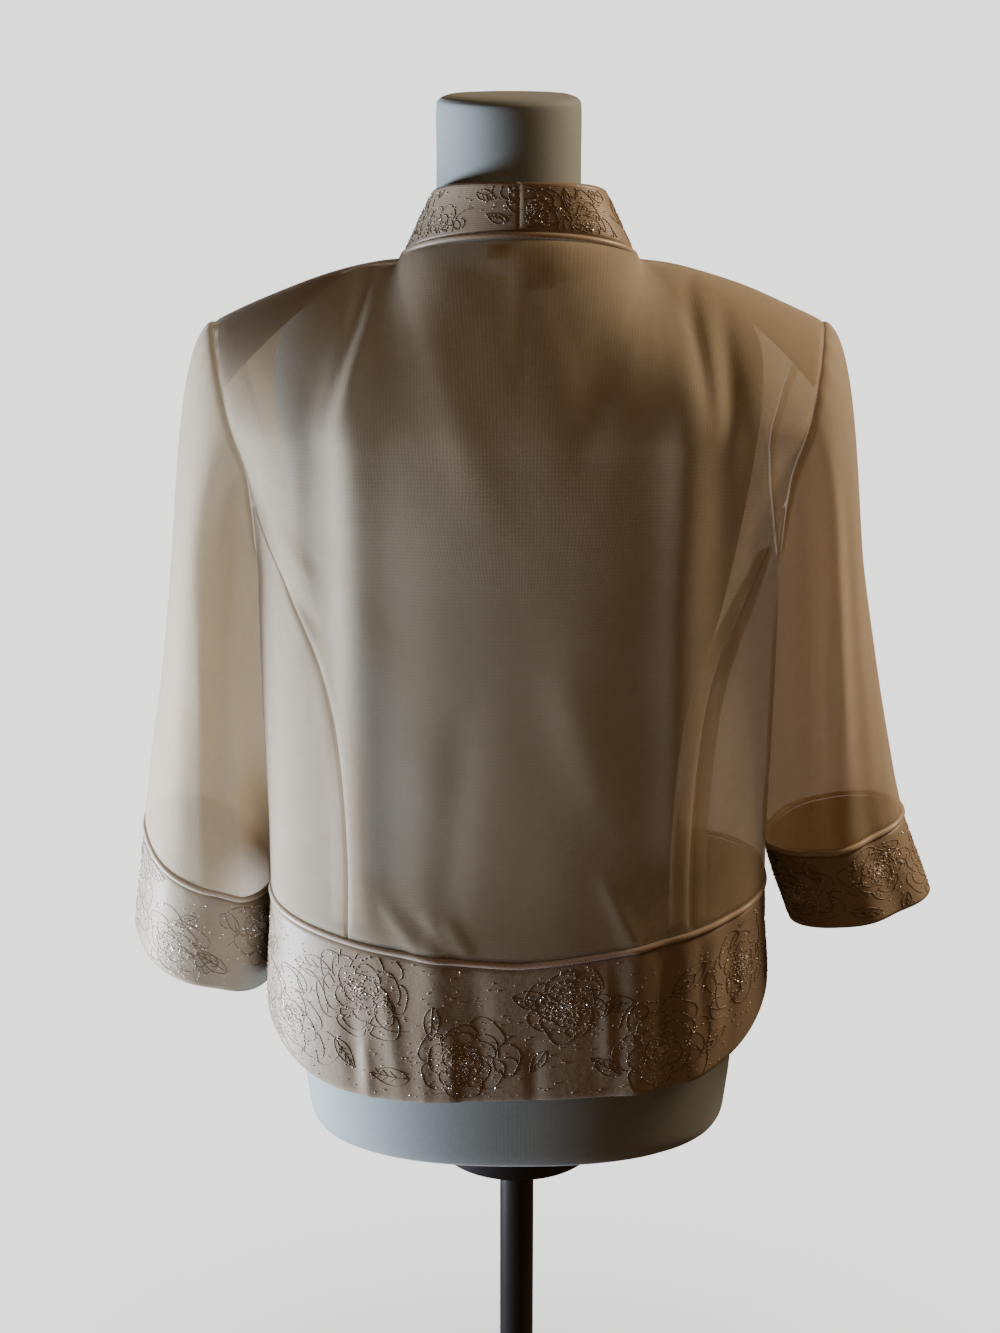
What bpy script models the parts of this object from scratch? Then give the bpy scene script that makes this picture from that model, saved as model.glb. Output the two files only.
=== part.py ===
"""Cropped evening jacket worn on a limbless dress form with a pole stand.

Metres, +Z up. The wearer's back faces -Y and the wearer's right arm is at +X. The origin is the
centre of the stand's underside. Each cloth piece is a wall cut from one of three surfaces: the
torso shell, the collar and the sleeves, whose sizes are in the tables below.
"""
import math

import bmesh
import bpy
from mathutils import Vector

MM = 0.001
CLOTH = 1.2 * MM
SEAM = 0.3 * MM  # how far each piece stops short of a seam line
PIPING_R = 2.2 * MM
PIPING_ROOM = PIPING_R + 0.5 * MM
SLEEVE_START = 1.2 * MM  # the sleeve head stands this far off the armhole

# Heights of the main levels of the worn jacket.
FORM_BASE = 0.362
HEM_CENTRE_BACK = 0.427
HEM_CENTRE_FRONT = 0.440
HEM_SIDE = 0.476
PIPING_CENTRE_BACK = 0.530
PIPING_CENTRE_FRONT = 0.544
PIPING_SIDE = 0.556
HEM_TILT = 0.010  # the jacket hangs this much higher at its right side, and lower at its left
PIPING_TILT = 0.004
UNDERARM = 0.800
BLADE = 0.900
SHOULDER_TIP = Vector((0.211, 0.0, 0.966))
NECK_POINT = Vector((0.080, -0.006, 1.010))

# Torso shell, outside of the cloth: half width, depth to the back and to the front of the side seam.
TORSO = [
    # z, half_width, back, front
    (0.410, 0.187, 0.114, 0.117),
    (0.475, 0.187, 0.113, 0.117),
    (0.530, 0.183, 0.111, 0.115),
    (0.600, 0.182, 0.107, 0.114),
    (0.700, 0.184, 0.106, 0.119),
    (0.770, 0.1845, 0.109, 0.125),
    (0.800, 0.1845, 0.110, 0.127),
    (0.840, 0.189, 0.112, 0.127),
    (0.870, 0.201, 0.113, 0.124),
    (0.900, 0.216, 0.113, 0.119),
]
BACK_SQUARE = 2.7
FRONT_SQUARE = 2.5

# How far round the ring the armhole edge lies: 1 is the side seam, 0 the centre.
ARMHOLE = [
    # z, back, front
    (0.800, 1.000, 1.000),
    (0.805, 0.965, 0.965),
    (0.813, 0.935, 0.935),
    (0.843, 0.839, 0.830),
    (0.870, 0.743, 0.735),
    (0.900, 0.705, 0.690),
]

# Half distance between the two princess seams of the back.
PRINCESS = [
    # z, half_distance
    (0.530, 0.121),
    (0.610, 0.120),
    (0.694, 0.126),
    (0.743, 0.137),
    (0.792, 0.158),
    (0.830, 0.176),
    (0.850, 0.1825),
]
PRINCESS_TOP = 0.850

SHELL_TOP = BLADE + 1  # shell() takes this height for the upper edge of a panel
SIDE_BACK_TOP = PRINCESS_TOP - 0.004  # the side back ends blunt, just below the seam's end
SEAM_LEVEL = 0.54  # height at which a panel's share of the hem seam is taken
BAND_LEVEL = 0.50  # the same for the hem bands
BACK_ROW_RUNS = (10, 3, 8)
BACK_ROWS = sum(BACK_ROW_RUNS)
FRONT_ROW_RUNS = (8, 8)

# Soft vertical folds of the torso cloth.
TORSO_FOLDS = [
    # x, low, high, half_width, out
    (-0.112, 0.56, 0.96, 0.017, 0.0055),
    (-0.136, 0.74, 0.96, 0.012, -0.0040),
    (0.112, 0.60, 0.96, 0.017, 0.0050),
    (0.138, 0.72, 0.96, 0.013, -0.0050),
    (-0.060, 0.40, 0.56, 0.013, 0.0025),
    (0.085, 0.40, 0.54, 0.014, 0.0035),
    (0.128, 0.40, 0.55, 0.012, 0.0040),
]

# Sleeve rings: lateral edge, its height, centre depth, half width, half depth, and how far the
# ring's outer side and front side are raised, in degrees.
LEFT_SLEEVE = [
    # x_lateral, z_lateral, y_centre, half_width, half_depth, roll, pitch
    (0.2480, 0.792, 0.010, 0.0300, 0.066, 6, 4),
    (0.2575, 0.722, 0.018, 0.0362, 0.064, 8, 8),
    (0.2700, 0.650, 0.026, 0.0441, 0.062, 16, 12),
    (0.2800, 0.5865, 0.034, 0.0528, 0.060, 27, 11),
    (0.2925, 0.504, 0.046, 0.0572, 0.061, 22, 13),
]
RIGHT_SLEEVE = [
    # x_lateral, z_lateral, y_centre, half_width, half_depth, roll, pitch
    (0.2465, 0.790, 0.005, 0.0298, 0.066, 7, 3),
    (0.2585, 0.725, 0.012, 0.0368, 0.064, 9, 2),
    (0.2735, 0.655, 0.020, 0.0451, 0.061, 12, 1),
    (0.2870, 0.599, 0.024, 0.0523, 0.058, 14, -1),
    (0.3110, 0.536, 0.024, 0.0540, 0.056, 14, -6),
]
CUFF_SEAM_ROW = 3
SLEEVE_COLUMNS = 28
SLEEVE_HEAD = 0.45  # share of the sleeve's rows above its first full ring

# How the sleeve cloth leaves the armhole: shares of its reach across and down, under the arm and
# at the shoulder tip, and the share with which it arrives at the first full ring.
LEAVE_ACROSS = 0.50
LEAVE_ACROSS_TIP = 0.42
LEAVE_DOWN = 0.50
LEAVE_DOWN_TIP = 0.10
ARRIVE = 0.90
FOLD_FADE = 0.06  # height over which a torso fold starts or ends

# Long soft folds of the sleeves, as waves of the ring's radius.
SLEEVE_FOLDS = [
    # side, angle_deg, half_angle_deg, out
    (-1, 60, 22, 0.0035),
    (-1, 105, 18, -0.0035),
    (1, 62, 16, -0.0040),
    (1, 92, 18, 0.0035),
    (1, 250, 22, 0.0030),
    (-1, 255, 22, 0.0030),
]

# Dress form: half width, depth to the back and front, and squareness of each level.
FORM = [
    # z, half_width, back, front, square, x_centre
    (0.362, 0.146, 0.092, 0.095, 2.4, 0.0),
    (0.368, 0.154, 0.098, 0.101, 2.4, 0.0),
    (0.384, 0.158, 0.101, 0.104, 2.4, 0.0),
    (0.440, 0.161, 0.101, 0.104, 2.4, 0.0),
    (0.520, 0.146, 0.093, 0.093, 2.3, 0.0),
    (0.610, 0.118, 0.080, 0.080, 2.2, 0.0),
    (0.690, 0.128, 0.086, 0.092, 2.2, 0.0),
    (0.770, 0.147, 0.094, 0.114, 2.3, 0.0),
    (0.840, 0.160, 0.100, 0.112, 2.4, 0.0),
    (0.895, 0.168, 0.097, 0.098, 2.4, 0.0),
    (0.930, 0.170, 0.090, 0.078, 2.2, 0.0),
    (0.955, 0.166, 0.080, 0.052, 2.0, 0.0),
    (0.975, 0.153, 0.069, 0.042, 1.7, 0.0),
    (0.990, 0.136, 0.061, 0.036, 1.2, 0.0),
    (1.0018, 0.114, 0.054, 0.022, 1.0, 0.0),
    (1.0042, 0.100, 0.052, 0.022, 1.0, 0.0),
    (1.0058, 0.077, 0.051, 0.023, 1.2, 0.0),
    (1.011, 0.063, 0.049, 0.030, 1.6, -0.002),
    (1.022, 0.054, 0.047, 0.035, 2.0, -0.005),
    (1.040, 0.050, 0.046, 0.039, 2.0, -0.007),
    (1.070, 0.049, 0.046, 0.041, 2.0, -0.007),
    (1.108, 0.049, 0.046, 0.041, 2.0, -0.007),
    (1.116, 0.047, 0.044, 0.039, 2.0, -0.007),
    (1.119, 0.040, 0.037, 0.033, 2.0, -0.007),
]

CENTRE_FRONT_GAP = 0.009
NECK_BACK_DEPTH = 0.056
NECK_FRONT_DEPTH = 0.074
NECK_BACK_RISE = 0.023
NECK_FRONT_DROP = 0.050
NECK_COLUMN = 0.42  # share of the upper panel's columns that end on the neckline
EDGE_SLOPE_SIDE = 8  # degrees below level at which the panels leave the collar seam
EDGE_SLOPE_MIDDLE = 50
COLLAR_HALF_WIDTH = 0.060
COLLAR_BACK_DEPTH = 0.049
COLLAR_FRONT_DEPTH = 0.062
COLLAR_HEIGHT = 0.034
COLLAR_SIDE_RISE = 0.008
COLLAR_END_DEG = 172

COLLAR_LEAN = 0.003

# Pulls of the curve that the upper panels follow from the shoulder blades to their upper edge.
BLADE_RISE = 0.11
BLADE_OUT = 0.004
ARMHOLE_RISE = 0.06
ARMHOLE_SPREAD = 0.030
SHOULDER_LEVEL = 0.130
SHOULDER_SPREAD = 0.010
NECK_LEVEL = 0.080
NECK_BACK_PULL = 0.11
NECK_FRONT_PULL = 0.08
UPPER_LENGTH = 0.150  # of a panel above the shoulder blades, at the neck
SHOULDER_LENGTH = 0.135  # the same near the shoulder tip

# Pads: shares of the shoulder's width, and half lengths front to back at the two ends.
PAD_START = 0.60
PAD_END = 0.985
PAD_TIP_REACH = 0.012
PAD_REACH = 0.080
PAD_THICK = 0.0075
PAD_THIN_SHARE = 0.12
PAD_ROOM = 1.2 * MM

LABELS = [
    # name, left, right, length
    ("neck_label", 0.004, 0.024, 0.036),
    ("size_tab", -0.021, -0.006, 0.013),
]
LABEL_DROP = 0.004
LABEL_OUT = Vector((0, -0.94, 0.34))
LABEL_ROOM = 1.4 * MM
LABEL_THICK = 0.5 * MM

STAND_RADIUS = 0.150
STAND_THICK = 0.008
STAND_GAP = 0.3 * MM
POLE_R = 0.013
FLANGE_R = 0.060
FLANGE_THICK = 0.030

COLOURS = {
    # name: red, green, blue, roughness, metallic
    "georgette": (0.56, 0.47, 0.36, 0.75, 0.0),
    "embroidered_satin": (0.50, 0.43, 0.34, 0.45, 0.0),
    "satin_piping": (0.60, 0.50, 0.40, 0.35, 0.0),
    "form_cover": (0.80, 0.82, 0.80, 0.70, 0.0),
    "label": (0.03, 0.03, 0.035, 0.60, 0.0),
    "pad_wadding": (0.55, 0.46, 0.36, 0.90, 0.0),
    "stand_steel": (0.06, 0.06, 0.065, 0.35, 0.9),
}


def smooth_row(rows, key):
    """The row of a table at this key, on a smooth curve through the rows."""
    key = min(max(key, rows[0][0]), rows[-1][0])
    last = len(rows) - 2
    i = next((n for n in range(last + 1) if key <= rows[n + 1][0]), last)
    before, low = rows[max(i - 1, 0)], rows[i]
    high, after = rows[i + 1], rows[min(i + 2, last + 1)]
    span = high[0] - low[0]
    t = (key - low[0]) / span
    found = []
    for a, b, c, d in zip(before[1:], low[1:], high[1:], after[1:]):
        slope_low = (c - a) / max(high[0] - before[0], span) * span
        slope_high = (d - b) / max(after[0] - low[0], span) * span
        found.append(hermite(b, slope_low, c, slope_high, t))
    return found


def hermite(start, leave, end, arrive, t):
    """A point on the cubic from start to end with these end slopes."""
    u = 1 - t
    return start * (1 + 2 * t) * u * u + leave * t * u * u + end * t * t * (3 - 2 * t) - arrive * t * t * u


def bump(distance, half_width):
    """A smooth bell that is 1 at no distance and nearly 0 past two half widths."""
    return math.exp(-((distance / half_width) ** 2))


def window(value, low, high, soft):
    """1 between low and high, with soft ends."""
    rise = min(max((value - low) / soft + 0.5, 0), 1)
    fall = min(max((high - value) / soft + 0.5, 0), 1)
    return rise * rise * (3 - 2 * rise) * fall * fall * (3 - 2 * fall)


def fold_depth(x, z):
    """How far the folds push the torso cloth out here."""
    depth = 0.0
    for centre, low, high, half_width, out in TORSO_FOLDS:
        depth += out * bump(x - centre, half_width) * window(z, low, high, FOLD_FADE)
    return depth


def torso_ring(w, z, face, folded=True):
    """A point of the torso shell: w is 0 at the centre, 1 or -1 at the side seams; face is -1 at
    the back and 1 at the front."""
    half_width, back, front = smooth_row(TORSO, z)
    depth, square = (back, BACK_SQUARE) if face < 0 else (front, FRONT_SQUARE)
    across = math.sin(w * math.pi / 2)
    reach = (1 - min(abs(across), 1) ** square) ** (1 / square)
    x = half_width * across
    fold = fold_depth(x, z) * reach if folded and face < 0 else 0.0
    return Vector((x, face * (depth * reach + fold), z))


def piping_height(w, face):
    """Height of the hem piping: lowest at the centre back."""
    side = math.sin(abs(w) * math.pi / 2) ** 1.4
    tilt = PIPING_TILT * math.sin(w * math.pi / 2)
    low = PIPING_CENTRE_BACK if face < 0 else PIPING_CENTRE_FRONT
    return low + (PIPING_SIDE - low) * side + tilt


def hem_height(w, face):
    """Height of the hem: level across the back and front, and higher at the side seams."""
    share = abs(w)
    side = (share * share * (3 - 2 * share)) ** 3
    low = HEM_CENTRE_BACK if face < 0 else HEM_CENTRE_FRONT
    return low + (HEM_SIDE - low) * side + HEM_TILT * w


def neckline(angle):
    """The collar seam: angle is 0 at the centre back and 180 degrees at the centre front."""
    c, s = math.cos(angle), math.sin(angle)
    depth = NECK_BACK_DEPTH if c > 0 else NECK_FRONT_DEPTH
    rise = NECK_BACK_RISE * c if c > 0 else -NECK_FRONT_DROP * abs(c) ** 1.6
    return Vector((NECK_POINT.x * s, NECK_POINT.y - depth * c, NECK_POINT.z + rise))


def collar_top(angle):
    """The free edge of the stand collar, above neckline() at the same angle."""
    c, s = math.cos(angle), math.sin(angle)
    depth = COLLAR_BACK_DEPTH if c > 0 else COLLAR_FRONT_DEPTH
    lift = COLLAR_HEIGHT + COLLAR_SIDE_RISE * s * s
    return Vector((COLLAR_HALF_WIDTH * s, NECK_POINT.y - COLLAR_LEAN - depth * c, neckline(angle).z + lift))


def neck_edge(angle):
    """The panels' edge below the neckline, clear of the piping."""
    c, s = math.cos(angle), math.sin(angle)
    slope = math.radians(EDGE_SLOPE_SIDE + (EDGE_SLOPE_MIDDLE - EDGE_SLOPE_SIDE) * abs(c))
    out = Vector((s * math.cos(slope), -c * math.cos(slope), -math.sin(slope)))
    return neckline(angle) + out * PIPING_ROOM


def shoulder_line(s):
    """The shoulder seam from the neck point at 0 to the tip at 1."""
    start = neck_edge(math.pi / 2)
    point = start.lerp(SHOULDER_TIP, s)
    point.z = start.z + (SHOULDER_TIP.z - start.z) * s**1.5
    return point


def panel_top(u, face):
    """The upper edge of a back or front: u runs from the centre to the shoulder tip."""
    side = -1 if u < 0 else 1
    share = min(abs(u), 1)
    if share < NECK_COLUMN:
        angle = share / NECK_COLUMN * math.pi / 2
        point = neck_edge(angle if face < 0 else math.pi - angle)
    else:
        point = shoulder_line((share - NECK_COLUMN) / (1 - NECK_COLUMN))
    return Vector((side * point.x, point.y, point.z))


def armhole_share(z, face):
    return smooth_row(ARMHOLE, z)[0 if face < 0 else 1]


def upper_shell(u, t, face):
    """The panel above the shoulder blades: t is 0 at BLADE and 1 at the shoulder seam or collar."""
    side = -1 if u < 0 else 1
    share = min(abs(u), 1)
    low = torso_ring(u * armhole_share(BLADE, face), BLADE, face, folded=False)
    top = panel_top(u, face)
    edge = share**3
    neck = max(0, 1 - share / NECK_COLUMN) ** 1.4
    rise = BLADE_RISE + (ARMHOLE_RISE - BLADE_RISE) * edge
    leave = Vector((side * ARMHOLE_SPREAD * edge, face * BLADE_OUT * (1 - edge), rise))
    pull = NECK_BACK_PULL if face < 0 else NECK_FRONT_PULL
    flat = SHOULDER_LEVEL + (NECK_LEVEL - SHOULDER_LEVEL) * neck
    arrive = Vector((side * SHOULDER_SPREAD * edge, -face * flat, pull * neck))
    point = hermite(low, leave, top, arrive, t)
    if face < 0:
        reach = (1 - (abs(low.x) / smooth_row(TORSO, BLADE)[0]) ** BACK_SQUARE) ** (1 / BACK_SQUARE)
        point.y -= fold_depth(low.x, point.z) * reach * (1 - t)
    return point


def shell(u, z, face):
    """A point of a back or front; heights above BLADE go on to 1 over it at the shoulder seam."""
    if z > BLADE:
        return upper_shell(u, z - BLADE, face)
    share = armhole_share(z, face) if z > UNDERARM else 1.0
    return torso_ring(u * share, z, face)


def level(row, stops, runs):
    """Height for shell() at this row, when each run of rows goes from one stop to the next."""
    for low, high, run in zip(stops, stops[1:], runs):
        if row <= run + 1e-6:
            return low + (high - low) * max(row, 0) / run
        row -= run
    return stops[-1]


def princess_share(z):
    """Where the princess seam lies on the ring, as a share of the panel's width."""
    if z >= PRINCESS_TOP:
        return 1.0
    half_width = smooth_row(TORSO, z)[0]
    edge = armhole_share(z, -1) if z > UNDERARM else 1.0
    seam = math.asin(min(1, smooth_row(PRINCESS, z)[0] / half_width)) / (math.pi / 2)
    return min(1.0, seam / edge)


def armhole_loop(side, count):
    """Points round the armhole, evenly spaced: from the shoulder tip down the back and up the front."""
    raw = []
    for face in (-1, 1):
        run = [shell(side, BLADE + n / 8, face) for n in range(8, 0, -1)]
        run += [shell(side, UNDERARM + (BLADE - UNDERARM) * (n / 12) ** 1.5, face) for n in range(12, -1, -1)]
        raw += run if face < 0 else run[-2::-1]
    lengths = [0.0]
    for a, b in zip(raw, raw[1:]):
        lengths.append(lengths[-1] + (b - a).length)
    under = raw.index(min(raw, key=lambda p: p.z))
    points = []
    for n in range(count):
        share = 2 * n / count
        if share <= 1:
            target = lengths[under] * share
        else:
            target = lengths[under] + (lengths[-1] - lengths[under]) * (share - 1)
        i = next(k for k in range(1, len(raw)) if lengths[k] >= target - 1e-9)
        step = (target - lengths[i - 1]) / (lengths[i] - lengths[i - 1])
        points.append(raw[i - 1].lerp(raw[i], step))
    return points


def sleeve_ring(side, row, angle):
    """A point on a sleeve ring: row is a real number into the table, angle is 0 at the outer edge
    and grows towards the back."""
    table = [(n, *r) for n, r in enumerate(LEFT_SLEEVE if side < 0 else RIGHT_SLEEVE)]
    x_lat, z_lat, y, half_width, half_depth, roll, pitch = smooth_row(table, row)
    roll, pitch = math.radians(roll), math.radians(pitch)
    outward = Vector((side * math.cos(roll), 0, math.sin(roll)))
    forward = Vector((0, math.cos(pitch), math.sin(pitch)))
    centre = Vector((side * x_lat, y, z_lat)) - outward * half_width
    swell = 1.0
    for fold_side, at, half_angle, out in SLEEVE_FOLDS:
        away = (math.degrees(angle) - at + 180) % 360 - 180
        if fold_side == side:
            swell += out / half_depth * bump(away, half_angle)
    return centre + (outward * half_width * math.cos(angle) - forward * half_depth * math.sin(angle)) * swell


def sleeve_point(side, column, columns, row, loop):
    """A point of the sleeve: row -1 is the armhole, 0 the first full ring, CUFF_SEAM_ROW the cuff."""
    angle = 2 * math.pi * column / columns
    if row >= 0:
        return sleeve_ring(side, row, angle)
    start = loop[column % columns]
    first = sleeve_ring(side, 0, angle)
    down = sleeve_ring(side, 0.1, angle) - first
    outer = (1 + math.cos(angle)) / 2
    reach = (first - start).length
    across = LEAVE_ACROSS + (LEAVE_ACROSS_TIP - LEAVE_ACROSS) * outer
    fall = LEAVE_DOWN + (LEAVE_DOWN_TIP - LEAVE_DOWN) * outer
    leave = Vector((side * across, 0, -fall)) * reach
    start = start + leave.normalized() * SLEEVE_START
    arrive = down.normalized() * reach * ARRIVE
    return hermite(start, leave, first, arrive, row + 1)


def material(name):
    made = bpy.data.materials.get(name)
    if made is None:
        red, green, blue, roughness, metallic = COLOURS[name]
        made = bpy.data.materials.new(name)
        made.use_nodes = True
        shader = made.node_tree.nodes["Principled BSDF"]
        shader.inputs["Base Color"].default_value = (red, green, blue, 1)
        shader.inputs["Roughness"].default_value = roughness
        shader.inputs["Metallic"].default_value = metallic
    return made


def add_object(name, data, finish, collection):
    made = bpy.data.objects.new(name, data)
    data.materials.append(material(finish))
    collection.objects.link(made)
    return made


def cloth_sheet(name, columns, rows, place, finish, collection, closed=False, thickness=CLOTH):
    """A cloth wall: a grid whose corners place(u, v) puts on the outer surface, thickened inwards."""
    bm = bmesh.new()
    bmesh.ops.create_grid(bm, x_segments=columns, y_segments=rows, size=0.5)
    step = 0.2
    for vert in bm.verts:
        u, v = vert.co.x + 0.5, vert.co.y + 0.5
        point = place(u, v)
        for across, edge in ((True, u), (False, v)):
            if (closed and across) or 1e-4 < edge < 1 - 1e-4:
                continue
            inner = edge + step / (columns if across else rows) * (1 if edge < 0.5 else -1)
            beside = place(inner, v) if across else place(u, inner)
            point = point + (beside - place(u, v)).normalized() * SEAM
        vert.co = point
    if closed:
        bmesh.ops.remove_doubles(bm, verts=bm.verts, dist=0.01 * MM)
    mesh = bpy.data.meshes.new(name)
    bm.to_mesh(mesh)
    bm.free()
    mesh.shade_smooth()
    made = add_object(name, mesh, finish, collection)
    wall = made.modifiers.new("Wall", "SOLIDIFY")
    wall.thickness = thickness
    wall.offset = -1
    return made


def piping(name, points, closed, collection):
    """A round satin cord along these points."""
    curve = bpy.data.curves.new(name, "CURVE")
    curve.dimensions = "3D"
    curve.bevel_depth = PIPING_R
    curve.bevel_resolution = 1
    curve.use_fill_caps = not closed
    spline = curve.splines.new("POLY")
    spline.points.add(len(points) - 1)
    for spot, point in zip(spline.points, points):
        spot.co = (*point, 1)
    spline.use_cyclic_u = closed
    return add_object(name, curve, "satin_piping", collection)


def inwards(point, centre, distance):
    """This point moved level towards a vertical line through centre."""
    flat = Vector((centre.x - point.x, centre.y - point.y, 0))
    return point + flat.normalized() * distance


def back_panels(collection):
    def centre(u, v):
        side = 2 * u - 1
        foot = piping_height(side * princess_share(SEAM_LEVEL), -1) + PIPING_ROOM
        z = level(v * BACK_ROWS, (foot, SIDE_BACK_TOP, BLADE, SHELL_TOP), BACK_ROW_RUNS)
        return shell(side * princess_share(z), z, -1)

    cloth_sheet("back_centre", 32, BACK_ROWS, centre, "georgette", collection)
    for side, name in ((-1, "back_side_left"), (1, "back_side_right")):
        def panel(u, v, side=side):
            across = u if side > 0 else 1 - u
            seam = princess_share(SEAM_LEVEL)
            foot = piping_height(side * (seam + (1 - seam) * across), -1) + PIPING_ROOM
            z = foot + (SIDE_BACK_TOP - foot) * v
            seam = princess_share(z)
            return shell(side * (seam + (1 - seam) * across), z, -1)

        cloth_sheet(name, 6, BACK_ROW_RUNS[0], panel, "georgette", collection)


def front_panels(collection):
    for side, name in ((-1, "front_left"), (1, "front_right")):
        def panel(u, v, side=side):
            across = u if side < 0 else 1 - u
            foot = piping_height(side * across, 1) + PIPING_ROOM
            z = level(v * sum(FRONT_ROW_RUNS), (foot, BLADE, SHELL_TOP), FRONT_ROW_RUNS)
            edge = centre_front_share(z)
            return shell(side * (edge + (1 - edge) * across), z, 1)

        cloth_sheet(name, 12, sum(FRONT_ROW_RUNS), panel, "georgette", collection)


def centre_front_share(z):
    """The share of a front's width that the opening at the centre front takes."""
    if z > BLADE:
        start = centre_front_share(BLADE)
        end = NECK_COLUMN * (180 - COLLAR_END_DEG) / 90
        return start + (end - start) * (z - BLADE)
    half_width = smooth_row(TORSO, z)[0]
    edge = armhole_share(z, 1) if z > UNDERARM else 1.0
    return math.asin(CENTRE_FRONT_GAP / half_width) / (math.pi / 2) / edge


def hem_bands(collection):
    def band(w, v, face):
        low, high = hem_height(w, face), piping_height(w, face) - PIPING_ROOM
        return torso_ring(w, low + (high - low) * v, face)

    cloth_sheet("hem_band_back", 34, 3, lambda u, v: band(2 * u - 1, v, -1), "embroidered_satin", collection)
    for side, name in ((-1, "hem_band_front_left"), (1, "hem_band_front_right")):
        def front(u, v, side=side):
            edge = centre_front_share(BAND_LEVEL)
            across = u if side < 0 else 1 - u
            return band(side * (edge + (1 - edge) * across), v, 1)

        cloth_sheet(name, 15, 3, front, "embroidered_satin", collection)
    axis = Vector((0, 0, 0))
    edge = centre_front_share(BAND_LEVEL)
    shares = [edge + (1 - edge) * n / 14 for n in range(14)]
    route = [(w, 1) for w in shares] + [(1 - n / 18, -1) for n in range(18)]
    right = [torso_ring(w, piping_height(w, face), face) for w, face in route]
    left = [torso_ring(-w, piping_height(-w, face), face) for w, face in route]
    middle = torso_ring(0, piping_height(0, -1), -1)
    line = right + [middle] + left[::-1]
    piping("hem_piping", [inwards(p, axis, CLOTH / 2) for p in line], False, collection)


def collar_pieces(collection):
    end = math.radians(COLLAR_END_DEG)
    for side, name in ((-1, "collar_left"), (1, "collar_right")):
        def half(u, v, side=side):
            angle = end * (u if side > 0 else 1 - u)
            foot, top = neckline(angle), collar_top(angle)
            foot = foot + (top - foot).normalized() * PIPING_ROOM
            point = foot.lerp(top, v)
            return Vector((side * point.x, point.y, point.z))

        cloth_sheet(name, 16, 3, half, "embroidered_satin", collection)
    count = 32
    angles = [end * (2 * n / count - 1) for n in range(count + 1)]
    line = []
    for angle in angles:
        point = neckline(abs(angle))
        line.append(Vector((math.copysign(point.x, angle), point.y, point.z)))
    axis = Vector((0, NECK_POINT.y, 0))
    piping("collar_piping", [inwards(p, axis, CLOTH / 2) for p in line], False, collection)


def sleeves(collection):
    columns = SLEEVE_COLUMNS
    for side, word in ((-1, "left"), (1, "right")):
        loop = armhole_loop(side, columns)
        room = PIPING_ROOM / ring_gap(side)

        def placed(u, v, side=side, loop=loop, room=room):
            below = (v - SLEEVE_HEAD) / (1 - SLEEVE_HEAD)
            row = v / SLEEVE_HEAD - 1 if below < 0 else below * (CUFF_SEAM_ROW - room)
            return sleeve_point(side, round(u * columns), columns, row, loop)

        cloth_sheet(f"sleeve_{word}", columns, 12, placed, "georgette", collection, closed=True)

        def cuff(u, v, side=side, room=room):
            row = CUFF_SEAM_ROW + room + (1 - room) * v
            return sleeve_ring(side, row, 2 * math.pi * u)

        cloth_sheet(f"cuff_{word}", columns, 3, cuff, "embroidered_satin", collection, closed=True)
        line = []
        centre = ring_centre(side, CUFF_SEAM_ROW)
        for n in range(columns):
            point = sleeve_ring(side, CUFF_SEAM_ROW, 2 * math.pi * n / columns)
            line.append(point + (centre - point).normalized() * CLOTH / 2)
        piping(f"cuff_piping_{word}", line, True, collection)


def ring_centre(side, row):
    return (sleeve_ring(side, row, 0) + sleeve_ring(side, row, math.pi)) / 2


def ring_gap(side):
    """Distance between the cuff's seam ring and its lower ring, in metres for one row of the table."""
    return (ring_centre(side, CUFF_SEAM_ROW + 0.5) - ring_centre(side, CUFF_SEAM_ROW - 0.5)).length


def shoulder_pads(collection):
    for side, name in ((-1, "shoulder_pad_left"), (1, "shoulder_pad_right")):
        def pad(u, v, side=side):
            grow = u if side > 0 else 1 - u
            across = PAD_START + (PAD_END - PAD_START) * grow
            reach = PAD_TIP_REACH + (PAD_REACH - PAD_TIP_REACH) * grow**0.8
            along = (2 * v - 1) * reach
            face = 1 if along > 0 else -1
            t = min(1 - abs(along) / SHOULDER_LENGTH, PAD_END)
            point = shell(side * across, BLADE + t, face)
            out = pad_normal(side * across, t, face)
            return point - out * (CLOTH + PAD_ROOM)

        made = cloth_sheet(name, 7, 8, pad, "pad_wadding", collection, thickness=PAD_THICK)
        group = made.vertex_groups.new(name="Thickness")
        narrow = min(abs(vert.co.x) for vert in made.data.vertices)
        wide = max(abs(vert.co.x) for vert in made.data.vertices)
        for vert in made.data.vertices:
            grow = (abs(vert.co.x) - narrow) / (wide - narrow)
            share = grow * bump(vert.co.y, PAD_REACH * 0.75)
            group.add([vert.index], max(share, PAD_THIN_SHARE), "REPLACE")
        made.modifiers["Wall"].vertex_group = "Thickness"


def pad_normal(u, t, face):
    """Upward unit vector out of the upper panel here."""
    step = 0.01
    du = shell(u + step, BLADE + t, face) - shell(u - step, BLADE + t, face)
    dt = shell(u, BLADE + min(t + step, 1), face) - shell(u, BLADE + t - step, face)
    normal = du.cross(dt).normalized()
    return normal if normal.z > 0 else -normal


def neck_labels(collection):
    """The blank woven label and the small size tab, inside the back neck."""
    for name, left, right, length in LABELS:
        def strip(u, v, left=left, right=right, length=length):
            x = left + (right - left) * u
            share = math.asin(x / NECK_POINT.x) / (math.pi / 2) * NECK_COLUMN
            t = 1 - (LABEL_DROP + length * (1 - v)) / UPPER_LENGTH
            point = upper_shell(share, t, -1)
            return Vector((x, point.y, point.z)) - LABEL_OUT * (CLOTH + LABEL_ROOM)

        cloth_sheet(name, 3, 4, strip, "label", collection, thickness=LABEL_THICK)


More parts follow.
